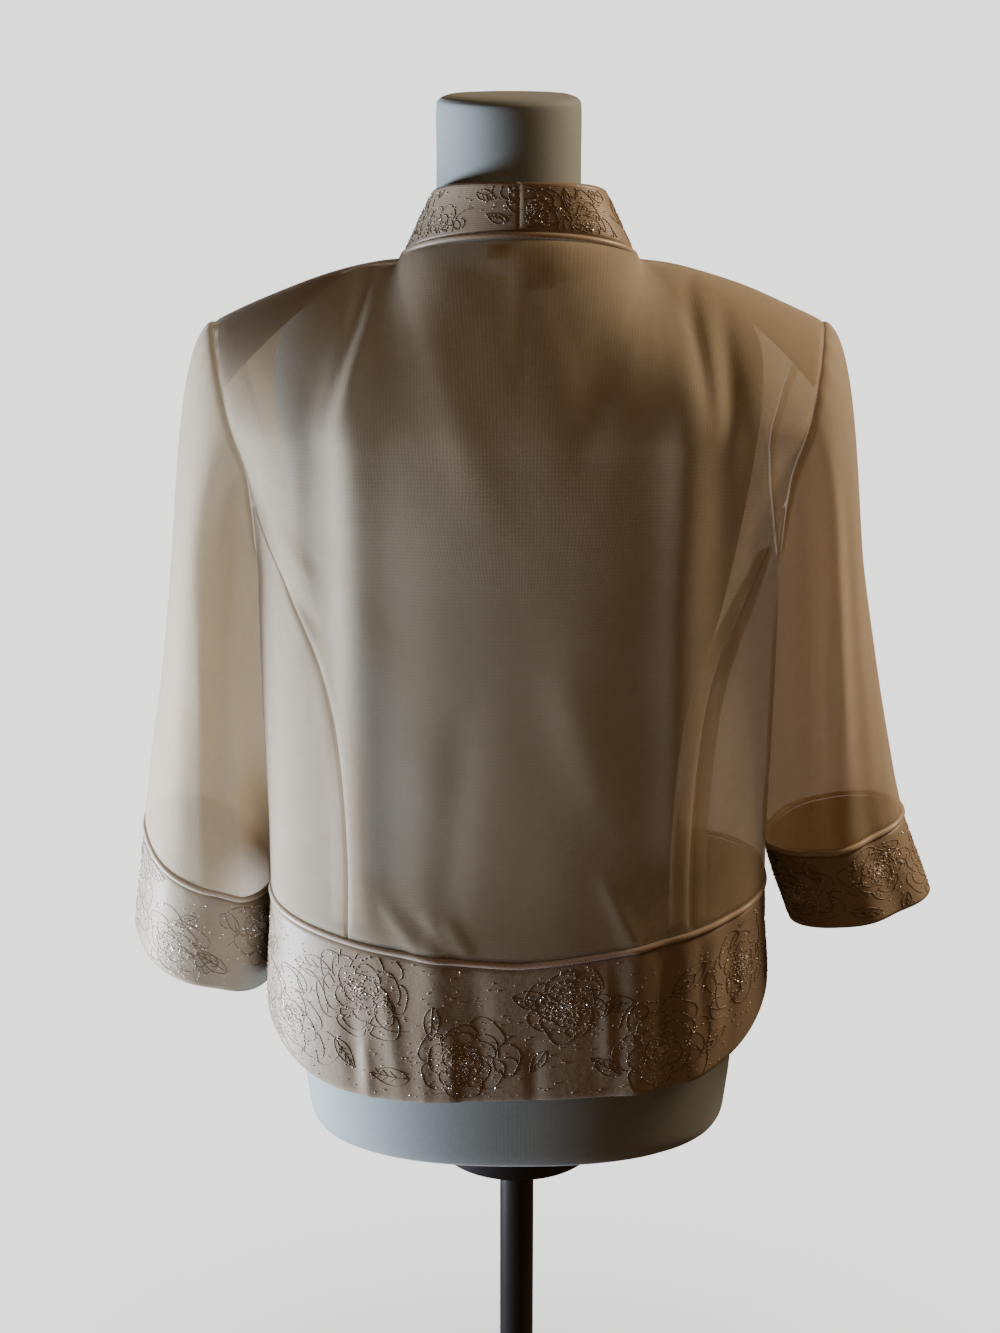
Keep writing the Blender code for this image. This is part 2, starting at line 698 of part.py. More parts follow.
def dress_form(collection):
    columns, rows = 36, len(FORM) - 1
    levels = [(n, *row) for n, row in enumerate(FORM)]

    def skin(u, v):
        angle = 2 * math.pi * u
        z, half_width, back, front, square, middle = smooth_row(levels, v * rows)
        c, s = math.cos(angle), math.sin(angle)
        depth = back if s < 0 else front
        x = middle + math.copysign(abs(c) ** (2 / square), c) * half_width
        y = math.copysign(abs(s) ** (2 / square), s) * depth
        return Vector((x, y, z))

    bm = bmesh.new()
    bmesh.ops.create_grid(bm, x_segments=columns, y_segments=rows, size=0.5)
    for vert in bm.verts:
        vert.co = skin(vert.co.x + 0.5, vert.co.y + 0.5)
    bmesh.ops.remove_doubles(bm, verts=bm.verts, dist=0.01 * MM)
    bmesh.ops.holes_fill(bm, edges=[e for e in bm.edges if e.is_boundary], sides=columns)
    bmesh.ops.recalc_face_normals(bm, faces=bm.faces)
    mesh = bpy.data.meshes.new("dress_form")
    bm.to_mesh(mesh)
    bm.free()
    mesh.shade_smooth()
    mesh.set_sharp_from_angle(angle=math.radians(50))
    add_object("dress_form", mesh, "form_cover", collection)


def cylinder(name, radius, low, high, bevel, collection, sides=40):
    middle = (0, 0, (low + high) / 2)
    bpy.ops.mesh.primitive_cylinder_add(vertices=sides, radius=radius, depth=high - low, location=middle)
    made = bpy.context.object
    made.name = name
    made.data.materials.append(material("stand_steel"))
    for old in list(made.users_collection):
        old.objects.unlink(made)
    collection.objects.link(made)
    if bevel:
        edge = made.modifiers.new("Edge", "BEVEL")
        edge.width = bevel
        edge.segments = 1
        edge.limit_method = "ANGLE"
    return made


def stand(collection):
    cylinder("stand_base", STAND_RADIUS, 0, STAND_THICK, 2 * MM, collection)
    flange_top = FORM_BASE - STAND_GAP
    flange_low = flange_top - FLANGE_THICK
    cylinder("stand_pole", POLE_R, STAND_THICK + STAND_GAP, flange_low - STAND_GAP, 0, collection, sides=24)
    cylinder("stand_flange", FLANGE_R, flange_low, flange_top, 3 * MM, collection, sides=40)


def main():
    for old in list(bpy.data.objects):
        bpy.data.objects.remove(old)
    collection = bpy.data.collections.new("bolero_jacket_on_form")
    bpy.context.scene.collection.children.link(collection)
    back_panels(collection)
    front_panels(collection)
    hem_bands(collection)
    collar_pieces(collection)
    sleeves(collection)
    shoulder_pads(collection)
    neck_labels(collection)
    dress_form(collection)
    stand(collection)


main()
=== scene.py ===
"""Looks of a cropped sheer evening jacket on a limbless dress form.

The wearer's back faces -Y and the right arm is at +X, as in the solids. Cloth is a thin shell on
the same surfaces as its solid, with the creases that the photograph shows and like ones elsewhere.
"""

import math
import random

import bmesh
import bpy
from mathutils import Matrix, Vector, noise


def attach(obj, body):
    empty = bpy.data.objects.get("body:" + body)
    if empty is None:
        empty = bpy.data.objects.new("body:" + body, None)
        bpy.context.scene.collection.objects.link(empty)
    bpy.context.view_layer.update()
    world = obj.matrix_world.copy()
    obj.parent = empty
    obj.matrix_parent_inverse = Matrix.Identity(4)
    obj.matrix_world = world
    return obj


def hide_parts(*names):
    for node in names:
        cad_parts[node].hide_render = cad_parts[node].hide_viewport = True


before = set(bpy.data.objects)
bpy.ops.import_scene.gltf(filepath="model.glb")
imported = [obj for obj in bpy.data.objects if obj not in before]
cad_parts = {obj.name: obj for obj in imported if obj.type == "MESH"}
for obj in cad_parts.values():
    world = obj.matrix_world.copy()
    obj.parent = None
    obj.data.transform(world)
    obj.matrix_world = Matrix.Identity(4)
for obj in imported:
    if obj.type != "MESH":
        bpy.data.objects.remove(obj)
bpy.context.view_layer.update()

MM = 0.001
GEORGETTE = 0.5 * MM
SATIN = 1.0 * MM
PIPING_R = 2.2 * MM
PIPING_ROOM = PIPING_R + 0.3 * MM
PIPING_SUNK = 0.6 * MM  # the cord's axis lies this far inside the cloth's outer face
SEAM_DIP = 0.9 * MM
COLLAR_DIP = 0.4 * MM
SEAM_ROLL = 3.0 * MM  # width of the dip beside a seam
SLEEVE_START = 0.1 * MM
ALLOWANCE = 0.014
ALLOWANCE_SPREAD = 1.25  # its width round the panel, as a share of its flat width
ALLOWANCE_END = 0.030  # it ends this far below the top of the princess seam
ALLOWANCE_UNDER = 1.3 * MM
ARMHOLE_ALLOWANCE_UNDER = 1.2 * MM
ARMHOLE_ALLOWANCE_ROWS = (-0.995, -0.905)
CORD_STEPS = 120
MERGE = 0.01 * MM
SIDES = ((-1, "left"), (1, "right"))

# The jacket's main levels and sizes, as in the solids.
HEM_CENTRE_BACK = 0.427
HEM_CENTRE_FRONT = 0.440
HEM_SIDE = 0.476
PIPING_CENTRE_BACK = 0.530
PIPING_CENTRE_FRONT = 0.544
PIPING_SIDE = 0.556
HEM_TILT = 0.010
PIPING_TILT = 0.004
UNDERARM = 0.800
BLADE = 0.900
SHELL_TOP = BLADE + 1
SHOULDER_TIP = Vector((0.211, 0.0, 0.966))
NECK_POINT = Vector((0.080, -0.006, 1.010))

TORSO = [
    # z, half_width, back, front
    (0.410, 0.187, 0.114, 0.117),
    (0.475, 0.187, 0.113, 0.117),
    (0.530, 0.183, 0.111, 0.115),
    (0.600, 0.182, 0.107, 0.114),
    (0.700, 0.184, 0.106, 0.119),
    (0.770, 0.1845, 0.109, 0.125),
    (0.800, 0.1845, 0.110, 0.127),
    (0.840, 0.189, 0.112, 0.127),
    (0.870, 0.201, 0.113, 0.124),
    (0.900, 0.216, 0.113, 0.119),
]
BACK_SQUARE = 2.7
FRONT_SQUARE = 2.5

ARMHOLE = [
    # z, back, front
    (0.800, 1.000, 1.000),
    (0.805, 0.965, 0.965),
    (0.813, 0.935, 0.935),
    (0.843, 0.839, 0.830),
    (0.870, 0.743, 0.735),
    (0.900, 0.705, 0.690),
]

PRINCESS = [
    # z, half_distance
    (0.530, 0.121),
    (0.610, 0.120),
    (0.694, 0.126),
    (0.743, 0.137),
    (0.792, 0.158),
    (0.830, 0.176),
    (0.850, 0.1825),
]
PRINCESS_TOP = 0.850
SIDE_BACK_TOP = PRINCESS_TOP - 0.004  # the side back ends blunt, just below the seam's end
SEAM_LEVEL = 0.54  # height at which a panel's share of the hem seam is taken
BAND_LEVEL = 0.50  # the same for the hem bands
ARC_LEVEL = 0.49  # height at which lengths round the hem bands are measured
ARC_STEPS = 200
FOLD_FADE = 0.06  # height over which a torso fold starts or ends

TORSO_FOLDS = [
    # x, low, high, half_width, out
    (-0.112, 0.56, 0.96, 0.017, 0.0055),
    (-0.136, 0.74, 0.96, 0.012, -0.0040),
    (0.112, 0.60, 0.96, 0.017, 0.0050),
    (0.138, 0.72, 0.96, 0.013, -0.0050),
    (-0.060, 0.40, 0.56, 0.013, 0.0025),
    (0.085, 0.40, 0.54, 0.014, 0.0035),
    (0.128, 0.40, 0.55, 0.012, 0.0040),
]

# Creases of the torso cloth, each along a straight stretch of the back or front.
TORSO_CREASES = [
    # face, x_start, z_start, x_end, z_end, half_width, out
    (-1, -0.106, 1.000, -0.124, 0.925, 0.0045, -0.0022),
    (-1, -0.099, 1.000, -0.115, 0.930, 0.0060, 0.0016),
    (-1, 0.116, 0.996, 0.124, 0.925, 0.0050, -0.0024),
    (-1, 0.139, 0.975, 0.142, 0.880, 0.0055, -0.0020),
    (-1, 0.128, 0.975, 0.131, 0.900, 0.0060, 0.0018),
    (-1, -0.126, 0.925, -0.127, 0.660, 0.0060, -0.0014),
    (-1, -0.183, 0.866, -0.168, 0.824, 0.0050, -0.0030),
    (-1, -0.175, 0.816, -0.140, 0.772, 0.0060, -0.0024),
    (-1, -0.168, 0.838, -0.140, 0.800, 0.0080, 0.0020),
    (-1, 0.180, 0.860, 0.160, 0.815, 0.0060, -0.0026),
    (-1, 0.172, 0.880, 0.148, 0.830, 0.0090, 0.0018),
    (-1, -0.095, 0.575, -0.070, 0.536, 0.0050, 0.0014),
    (-1, -0.074, 0.565, -0.050, 0.536, 0.0040, -0.0012),
    (-1, -0.050, 0.562, -0.034, 0.536, 0.0045, 0.0012),
    (-1, 0.060, 0.590, 0.085, 0.540, 0.0060, 0.0012),
    (-1, 0.030, 0.740, 0.062, 0.640, 0.0180, 0.0016),
    (-1, -0.062, 0.980, -0.020, 0.860, 0.0160, 0.0018),
    (-1, 0.055, 0.985, 0.040, 0.880, 0.0150, -0.0016),
    (-1, -0.040, 0.700, -0.052, 0.560, 0.0140, -0.0014),
    (-1, -0.120, 0.500, -0.116, 0.430, 0.0070, -0.0020),
    (-1, -0.098, 0.520, -0.084, 0.430, 0.0060, 0.0016),
    (-1, -0.030, 0.520, -0.024, 0.440, 0.0080, -0.0012),
    (-1, 0.062, 0.525, 0.064, 0.450, 0.0050, 0.0014),
    (-1, 0.104, 0.535, 0.108, 0.450, 0.0055, -0.0030),
    (-1, 0.117, 0.540, 0.119, 0.460, 0.0045, 0.0020),
    (-1, 0.129, 0.543, 0.131, 0.480, 0.0040, -0.0018),
    (-1, 0.140, 0.545, 0.141, 0.460, 0.0050, 0.0022),
    (-1, 0.152, 0.548, 0.153, 0.470, 0.0050, -0.0026),
    (-1, 0.163, 0.550, 0.164, 0.490, 0.0040, 0.0018),
    (-1, -0.110, 0.470, -0.108, 0.425, 0.0040, 0.0018),
    (-1, -0.062, 0.480, -0.060, 0.425, 0.0045, -0.0016),
    (-1, -0.048, 0.475, -0.047, 0.425, 0.0040, 0.0014),
    (-1, 0.010, 0.470, 0.012, 0.425, 0.0050, -0.0012),
    (1, -0.120, 0.985, -0.110, 0.900, 0.0080, -0.0016),
    (1, 0.118, 0.985, 0.112, 0.895, 0.0090, -0.0018),
    (1, -0.165, 0.850, -0.110, 0.790, 0.0090, -0.0026),
    (1, 0.168, 0.850, 0.118, 0.800, 0.0080, -0.0024),
    (1, -0.130, 0.830, -0.090, 0.700, 0.0150, 0.0020),
    (1, 0.125, 0.830, 0.100, 0.690, 0.0160, 0.0022),
    (1, -0.060, 0.760, -0.050, 0.560, 0.0160, -0.0018),
    (1, 0.070, 0.780, 0.050, 0.570, 0.0150, -0.0020),
    (1, 0.150, 0.700, 0.140, 0.560, 0.0120, 0.0018),
    (1, -0.150, 0.680, -0.146, 0.560, 0.0130, 0.0016),
    (1, -0.100, 0.540, -0.096, 0.450, 0.0070, 0.0018),
    (1, 0.090, 0.540, 0.094, 0.450, 0.0075, -0.0020),
    (1, 0.145, 0.545, 0.148, 0.470, 0.0060, 0.0016),
]

LEFT_SLEEVE = [
    # x_lateral, z_lateral, y_centre, half_width, half_depth, roll, pitch
    (0.2480, 0.792, 0.010, 0.0311, 0.066, 6, 4),
    (0.2575, 0.722, 0.018, 0.0362, 0.064, 8, 8),
    (0.2700, 0.650, 0.026, 0.0441, 0.062, 16, 12),
    (0.2800, 0.5865, 0.034, 0.0528, 0.060, 27, 11),
    (0.2925, 0.504, 0.046, 0.0572, 0.061, 22, 13),
]
RIGHT_SLEEVE = [
    # x_lateral, z_lateral, y_centre, half_width, half_depth, roll, pitch
    (0.2465, 0.790, 0.005, 0.0298, 0.066, 7, 3),
    (0.2585, 0.725, 0.012, 0.0368, 0.064, 9, 2),
    (0.2735, 0.655, 0.020, 0.0451, 0.061, 12, 1),
    (0.2870, 0.599, 0.024, 0.0523, 0.058, 14, -1),
    (0.3110, 0.536, 0.024, 0.0540, 0.056, 14, -6),
]
CUFF_SEAM_ROW = 3
SLEEVE_COLUMNS = 112
SLEEVE_HEAD = 0.34  # share of the sleeve's rows above its first full ring

# How a sleeve leaves the armhole, as shares of the way to its first ring, and reaches that ring.
LEAVE_ACROSS = 0.50
LEAVE_ACROSS_TIP = 0.42
LEAVE_DOWN = 0.50
LEAVE_DOWN_TIP = 0.10
ARRIVE = 0.90
EASE_WAVES = 23  # fine gathers along the sleeve head
EASE_DEPTH = 0.7 * MM
EASE_ROW = -0.93
EASE_ROWS = 0.10

SLEEVE_FOLDS = [
    # side, angle_deg, half_angle_deg, out
    (-1, 60, 22, 0.0035),
    (-1, 105, 18, -0.0035),
    (1, 62, 16, -0.0040),
    (1, 92, 18, 0.0035),
    (1, 250, 22, 0.0030),
    (-1, 255, 22, 0.0030),
]

# Slight unevenness of cloth that hangs free: its depth, and its waves for each metre or turn.
UNEVEN = 0.5 * MM
UNEVEN_ACROSS = 28
UNEVEN_UP = 16
UNEVEN_SEED = 7.3
UNEVEN_ROUND = 2.2
UNEVEN_ALONG = 1.7
CREASE_REACH = 0.06  # no crease of the torso shows further to its side
CREASE_FADE = 0.6  # share of a torso crease's length over which it starts or ends
SLEEVE_CREASE_FADE = 0.55
CREASE_END_ROW = 4.5

# Narrower creases of the sleeves, which start and end along the arm and drift round it.
SLEEVE_CREASES = [
    # side, angle_deg, drift_deg, row_low, row_high, half_angle_deg, out
    (-1, 140, -30, -0.9, 0.9, 9, -0.0022),
    (-1, 84, 10, 0.4, 2.9, 8, 0.0016),
    (-1, 40, 8, -0.5, 1.6, 9, -0.0014),
    (-1, 122, 6, 1.2, 3.0, 8, 0.0018),
    (-1, 300, 14, -0.6, 1.4, 10, -0.0020),
    (-1, 220, -18, 0.2, 2.6, 10, -0.0018),
    (-1, 160, 10, 0.8, 3.0, 9, 0.0020),
    (1, 140, -26, -0.9, 0.4, 8, -0.0028),
    (1, 118, -6, -0.2, 2.8, 7, -0.0034),
    (1, 104, -4, 0.1, 2.9, 7, 0.0018),
    (1, 76, 6, -0.4, 1.8, 8, 0.0018),
    (1, 36, 8, 0.2, 2.8, 10, -0.0018),
    (1, 158, 6, 0.9, 3.0, 9, 0.0018),
    (1, 300, -16, -0.5, 1.2, 10, -0.0020),
    (1, 222, 20, 0.4, 2.7, 10, -0.0020),
]

FORM = [
    # z, half_width, back, front, square, x_centre
    (0.362, 0.146, 0.092, 0.095, 2.4, 0.0),
    (0.368, 0.154, 0.098, 0.101, 2.4, 0.0),
    (0.384, 0.158, 0.101, 0.104, 2.4, 0.0),
    (0.440, 0.161, 0.101, 0.104, 2.4, 0.0),
    (0.520, 0.146, 0.093, 0.093, 2.3, 0.0),
    (0.610, 0.118, 0.080, 0.080, 2.2, 0.0),
    (0.690, 0.128, 0.086, 0.092, 2.2, 0.0),
    (0.770, 0.147, 0.094, 0.114, 2.3, 0.0),
    (0.840, 0.160, 0.100, 0.112, 2.4, 0.0),
    (0.895, 0.168, 0.097, 0.098, 2.4, 0.0),
    (0.930, 0.170, 0.090, 0.078, 2.2, 0.0),
    (0.955, 0.166, 0.080, 0.052, 2.0, 0.0),
    (0.975, 0.153, 0.069, 0.042, 1.7, 0.0),
    (0.990, 0.136, 0.061, 0.036, 1.2, 0.0),
    (1.0018, 0.114, 0.054, 0.022, 1.0, 0.0),
    (1.0042, 0.100, 0.052, 0.022, 1.0, 0.0),
    (1.0058, 0.077, 0.051, 0.023, 1.2, 0.0),
    (1.011, 0.063, 0.049, 0.030, 1.6, -0.002),
    (1.022, 0.054, 0.047, 0.035, 2.0, -0.005),
    (1.040, 0.050, 0.046, 0.039, 2.0, -0.007),
    (1.070, 0.049, 0.046, 0.041, 2.0, -0.007),
    (1.108, 0.049, 0.046, 0.041, 2.0, -0.007),
    (1.116, 0.047, 0.044, 0.039, 2.0, -0.007),
    (1.119, 0.040, 0.037, 0.033, 2.0, -0.007),
]

CENTRE_FRONT_GAP = 0.009
NECK_BACK_DEPTH = 0.056
NECK_FRONT_DEPTH = 0.074
NECK_BACK_RISE = 0.023
NECK_FRONT_DROP = 0.050
NECK_COLUMN = 0.42  # share of the upper panel's columns that end on the neckline
NECK_EASE = 0.24  # share over which the corner at the neck point is rounded
EDGE_SLOPE_SIDE = 8  # degrees below level at which the panels leave the collar seam
EDGE_SLOPE_MIDDLE = 50
COLLAR_HALF_WIDTH = 0.060
COLLAR_BACK_DEPTH = 0.049
COLLAR_FRONT_DEPTH = 0.062
COLLAR_HEIGHT = 0.034
COLLAR_SIDE_RISE = 0.008
COLLAR_END = math.radians(172)
COLLAR_LEAN = 0.003
COLLAR_MIDDLE = 1e-4  # the collar halves start this far from the centre back, in radians

# How the upper panels leave the shoulder blades and reach the shoulder seam or collar.
BLADE_STEP = 0.006
BLADE_RISE = 0.135
ARMHOLE_RISE = 0.060
SHOULDER_LEVEL = 0.130
SHOULDER_SPREAD = 0.010
NECK_LEVEL = 0.080
NECK_BACK_PULL = 0.11
NECK_FRONT_PULL = 0.08
UPPER_LENGTH = 0.150  # of a panel above the shoulder blades, at the neck
SHOULDER_LENGTH = 0.135  # the same near the shoulder tip
UPPER_TURN = 1.2  # radians by which a panel turns from upright to its upper edge

PAD_START = 0.60
PAD_END = 0.985
PAD_TIP_REACH = 0.012
PAD_REACH = 0.080
PAD_THICK = 0.0075
PAD_THIN_SHARE = 0.12
PAD_THIN_X = 0.12  # the pad grows from here to its full thickness
PAD_FULL_X = 0.21
PAD_RIDGE = 0.06
PAD_ROOM = 2.2 * MM

LABELS = [
    # node, left, right, length
    ("neck_label", 0.004, 0.024, 0.036),
    ("size_tab", -0.021, -0.006, 0.013),
]
LABEL_DROP = 0.004
LABEL_OUT = Vector((0, -0.94, 0.34))  # out of the back panel at the labels
LABEL_ROOM = 2.4 * MM
LABEL_THICK = 0.4 * MM

# Kinds of soft piece, each with its thickness, slot and material.
KINDS = {
    "cloth": (GEORGETTE, "georgette", "georgette"),
    "satin": (SATIN, "embroidered_satin", "satin_ground"),
    "wadding": (PAD_THICK, "pad_wadding", "wadding"),
    "tape": (LABEL_THICK, "label", "label_tape"),
}

STAND_RADIUS = 0.150
STAND_THICK = 0.008
POLE_R = 0.013
FLANGE_R = 0.060
FLANGE_THICK = 0.030
STAND_GAP = 0.3 * MM
FORM_BASE = 0.362
FORM_COLUMNS = 144
FORM_ROUND = 0.86  # metres round the form that its cover's pattern spans

# The embroidery: rounds of petals, and sizes in metres or as shares of a flower's reach.
PETAL_ROUNDS = [
    # radius, petals
    (0.34, 4),
    (0.56, 5),
    (0.78, 6),
    (1.00, 7),
]
PETAL_FOLD = (0.80, 0.72, 0.66)  # where a fold's points lie on the way to the petal's edge
THREAD_R = 0.30 * MM
THREAD_LIFT = 0.12 * MM
GRAIN_LIFT = 0.3 * MM
GRAIN_EDGE = 0.003
THREAD_EDGE = 0.0025
LOOSE_GRAINS = 12000  # for each square metre
LINE_GRAINS = 0.10  # share of the threads' points with a grain
GRAIN_SPREAD = 0.42  # of the grains on a flower, as a share of its reach
SQUASH = (0.82, 0.98)
HEART_POINTS = 16
HEART_START = 0.02
HEART_STEP = 0.011
HEART_TURN = 0.6
PETAL_POINTS = 18
PETAL_TURN_IN = 0.22
PETAL_WAVE = 0.035
PETAL_WAVES = 7
PETAL_GONE = 0.3  # share of the outer petals left out
LEAF_POINTS = 14
LEAF_HALF_WIDTH = 0.22
LEAF_VEINS = (0.3, 0.5, 0.7)
TENDRIL_POINTS = 30
TENDRIL_STEP = 0.055
TENDRIL_BEND = 0.02
TENDRIL_CURL = 0.0135
FLOWER_STRAY = 0.008  # furthest that a flower lies from its even place
FLOWER_LOW = 0.34  # heights on the strip, as shares of it
FLOWER_HIGH = 0.64
LEAF_LOW = 0.16
LEAF_HIGH = 0.80
ANY_TURN = (0, 6.28)  # radians
GRAIN_SIZE = (0.32, 0.78)  # shares of a grain 2 mm across

LIGHTS = [
    # name, spot, target, side, watts, colour
    ("window", (-1.35, -0.03, 0.20), (0, 0, 0.70), 0.8, 99, "e6edfa"),
    ("lamp", (1.7, 0.42, 1.9), (0, 0, 0.85), 0.7, 39, "ffdfba"),
]
SLEEVE_LIGHT = ("window_edge", (-0.85, -0.80, 0.10), (-0.26, 0, 0.45), 0.5, 13, "e6edfa")
SLEEVE_LIT = ("sleeve_left", "cuff_left", "cuff_piping_left")
SUN_STRENGTH = 8.4
SUN_ANGLE_DEG = 60
BACKGROUND = ("dcdcdc", 2.2)  # colour and strength of the world that the camera sees
ROOM = ("ffc490", 0.10)  # the same of the world that lights the part

# The camera through which the size was worked out from the photograph.
CAMERA_SPOT = (-0.013, -1.63, 1.23)
CAMERA_DOWN_DEG = 17.5
FOCAL_PX = 2365
FRAME_HEIGHT_PX = 1333


# Surfaces of the worn cloth


def hermite(start, leave, end, arrive, t):
    """A point on the cubic from start to end with these end slopes."""
    u = 1 - t
    return start * (1 + 2 * t) * u * u + leave * t * u * u + end * t * t * (3 - 2 * t) - arrive * t * t * u


def smooth_row(rows, key):
    """The row of a table at this key, on a smooth curve through the rows."""
    key = min(max(key, rows[0][0]), rows[-1][0])
    last = len(rows) - 2
    i = next((n for n in range(last + 1) if key <= rows[n + 1][0]), last)
    before, low = rows[max(i - 1, 0)], rows[i]
    high, after = rows[i + 1], rows[min(i + 2, last + 1)]
    span = high[0] - low[0]
    t = (key - low[0]) / span
    found = []
    for a, b, c, d in zip(before[1:], low[1:], high[1:], after[1:]):
        slope_low = (c - a) / max(high[0] - before[0], span) * span
        slope_high = (d - b) / max(after[0] - low[0], span) * span
        found.append(hermite(b, slope_low, c, slope_high, t))
    return found


def bump(distance, half_width):
    return math.exp(-((distance / half_width) ** 2))


def window(value, low, high, soft):
    """1 between low and high, with soft ends."""
    rise = min(max((value - low) / soft + 0.5, 0), 1)
    fall = min(max((high - value) / soft + 0.5, 0), 1)
    return rise * rise * (3 - 2 * rise) * fall * fall * (3 - 2 * fall)


def fold_depth(x, z):
    depth = 0.0
    for centre, low, high, half_width, out in TORSO_FOLDS:
        depth += out * bump(x - centre, half_width) * window(z, low, high, FOLD_FADE)
    return depth


def crease_depth(x, z, face):
    """Fine creases and the slight unevenness of cloth that hangs free."""
    spot = Vector((x * UNEVEN_ACROSS, z * UNEVEN_UP, face * UNEVEN_SEED))
    depth = UNEVEN * noise.noise(spot)
    for side, x_start, z_start, x_end, z_end, half_width, out in TORSO_CREASES:
        if side != face or not min(x_start, x_end) - CREASE_REACH < x < max(x_start, x_end) + CREASE_REACH:
            continue
        dx, dz = x_end - x_start, z_end - z_start
        length = math.hypot(dx, dz)
        along = ((x - x_start) * dx + (z - z_start) * dz) / length
        across = ((x - x_start) * dz - (z - z_start) * dx) / length
        depth += out * bump(across, half_width) * window(along, 0, length, CREASE_FADE * length)
    return depth


def torso_ring(w, z, face, folded=True):
    """A point of the torso shell: w is 0 at the centre, 1 or -1 at the side seams; face is -1 at
    the back and 1 at the front."""
    half_width, back, front = smooth_row(TORSO, z)
    depth, square = (back, BACK_SQUARE) if face < 0 else (front, FRONT_SQUARE)
    across = math.sin(w * math.pi / 2)
    reach = (1 - min(abs(across), 1) ** square) ** (1 / square)
    x = half_width * across
    if not folded:
        return Vector((x, face * depth * reach, z))
    fold = crease_depth(x, z, face) + (fold_depth(x, z) if face < 0 else 0.0)
    return Vector((x, face * (depth + fold) * reach, z))


def piping_height(w, face):
    side = math.sin(abs(w) * math.pi / 2) ** 1.4
    tilt = PIPING_TILT * math.sin(w * math.pi / 2)
    low = PIPING_CENTRE_BACK if face < 0 else PIPING_CENTRE_FRONT
    return low + (PIPING_SIDE - low) * side + tilt


def hem_height(w, face):
    share = abs(w)
    side = (share * share * (3 - 2 * share)) ** 3
    low = HEM_CENTRE_BACK if face < 0 else HEM_CENTRE_FRONT
    return low + (HEM_SIDE - low) * side + HEM_TILT * w


def on_side(point, sign):
    """A point of the right half, or its mirror image in the left half where the sign is negative."""
    return Vector((math.copysign(point.x, sign), point.y, point.z))


def neckline(angle):
    """The collar seam: angle is 0 at the centre back and 180 degrees at the centre front."""
    c, s = math.cos(angle), math.sin(angle)
    depth = NECK_BACK_DEPTH if c > 0 else NECK_FRONT_DEPTH
    rise = NECK_BACK_RISE * c if c > 0 else -NECK_FRONT_DROP * abs(c) ** 1.6
    return Vector((NECK_POINT.x * s, NECK_POINT.y - depth * c, NECK_POINT.z + rise))


def collar_top(angle):
    c, s = math.cos(angle), math.sin(angle)
    depth = COLLAR_BACK_DEPTH if c > 0 else COLLAR_FRONT_DEPTH
    lift = COLLAR_HEIGHT + COLLAR_SIDE_RISE * s * s
    return Vector((COLLAR_HALF_WIDTH * s, NECK_POINT.y - COLLAR_LEAN - depth * c, neckline(angle).z + lift))


def neck_edge(angle):
    """The panels' edge below the neckline, clear of the piping."""
    c, s = math.cos(angle), math.sin(angle)
    slope = math.radians(EDGE_SLOPE_SIDE + (EDGE_SLOPE_MIDDLE - EDGE_SLOPE_SIDE) * abs(c))
    out = Vector((s * math.cos(slope), -c * math.cos(slope), -math.sin(slope)))
    return neckline(angle) + out * PIPING_ROOM


def shoulder_line(s):
    start = neck_edge(math.pi / 2)
    point = start.lerp(SHOULDER_TIP, s)
    point.z = start.z + (SHOULDER_TIP.z - start.z) * s**1.5
    return point


def panel_top(u, face):
    """The upper edge of a back or front: u runs from the centre to the shoulder tip."""
    share = min(abs(u), 1)
    if share < NECK_COLUMN:
        angle = share / NECK_COLUMN * math.pi / 2
        point = neck_edge(angle if face < 0 else math.pi - angle)
    else:
        point = shoulder_line((share - NECK_COLUMN) / (1 - NECK_COLUMN))
    return on_side(point, u)


def armhole_share(z, face):
    """The share of its half width that the torso keeps beside the armhole: all of it lower down."""
    return smooth_row(ARMHOLE, z)[0 if face < 0 else 1]


def eased_top(u, t, face):
    """The upper edge that a point at t follows, and how much of the neck's pull it gets. The corner
    at the neck point is rounded the more, the further the point is below the edge."""
    side = -1 if u < 0 else 1
    share = min(abs(u), 1)
    spread = min(NECK_EASE * (1 - t), share, 1 - share)
    shares = [share + spread * k / 2 for k in (-2, -1, 0, 1, 2)]
    top = sum((panel_top(side * s, face) for s in shares), Vector()) / len(shares)
    neck = sum(max(0, 1 - s / NECK_COLUMN) ** 1.4 for s in shares) / len(shares)
    return top, neck


def upper_shell(u, t, face):
    """The panel above the shoulder blades: t is 0 at BLADE and 1 at the shoulder seam or collar."""
    side = -1 if u < 0 else 1
    share = min(abs(u), 1)
    low = torso_ring(u * armhole_share(BLADE, face), BLADE, face, folded=False)
    start = BLADE - BLADE_STEP
    below = torso_ring(u * armhole_share(start, face), start, face, folded=False)
    top, neck = eased_top(u, t, face)
    edge = share**3
    leave = (low - below) / BLADE_STEP * (BLADE_RISE - (BLADE_RISE - ARMHOLE_RISE) * edge)
    pull = NECK_BACK_PULL if face < 0 else NECK_FRONT_PULL
    flat = SHOULDER_LEVEL + (NECK_LEVEL - SHOULDER_LEVEL) * neck
    arrive = Vector((side * SHOULDER_SPREAD * edge, -face * flat, pull * neck))
    point = hermite(low, leave, top, arrive, t)
    square = BACK_SQUARE if face < 0 else FRONT_SQUARE
    reach = (1 - (abs(low.x) / smooth_row(TORSO, BLADE)[0]) ** square) ** (1 / square)
    fold = crease_depth(low.x * (1 - t) + point.x * t, point.z, face)
    if face < 0:
        fold += fold_depth(low.x, point.z) * (1 - t)
    tilt = UPPER_TURN * t
    return point + Vector((0, face * math.cos(tilt), math.sin(tilt))) * fold * (reach * (1 - t) + t)


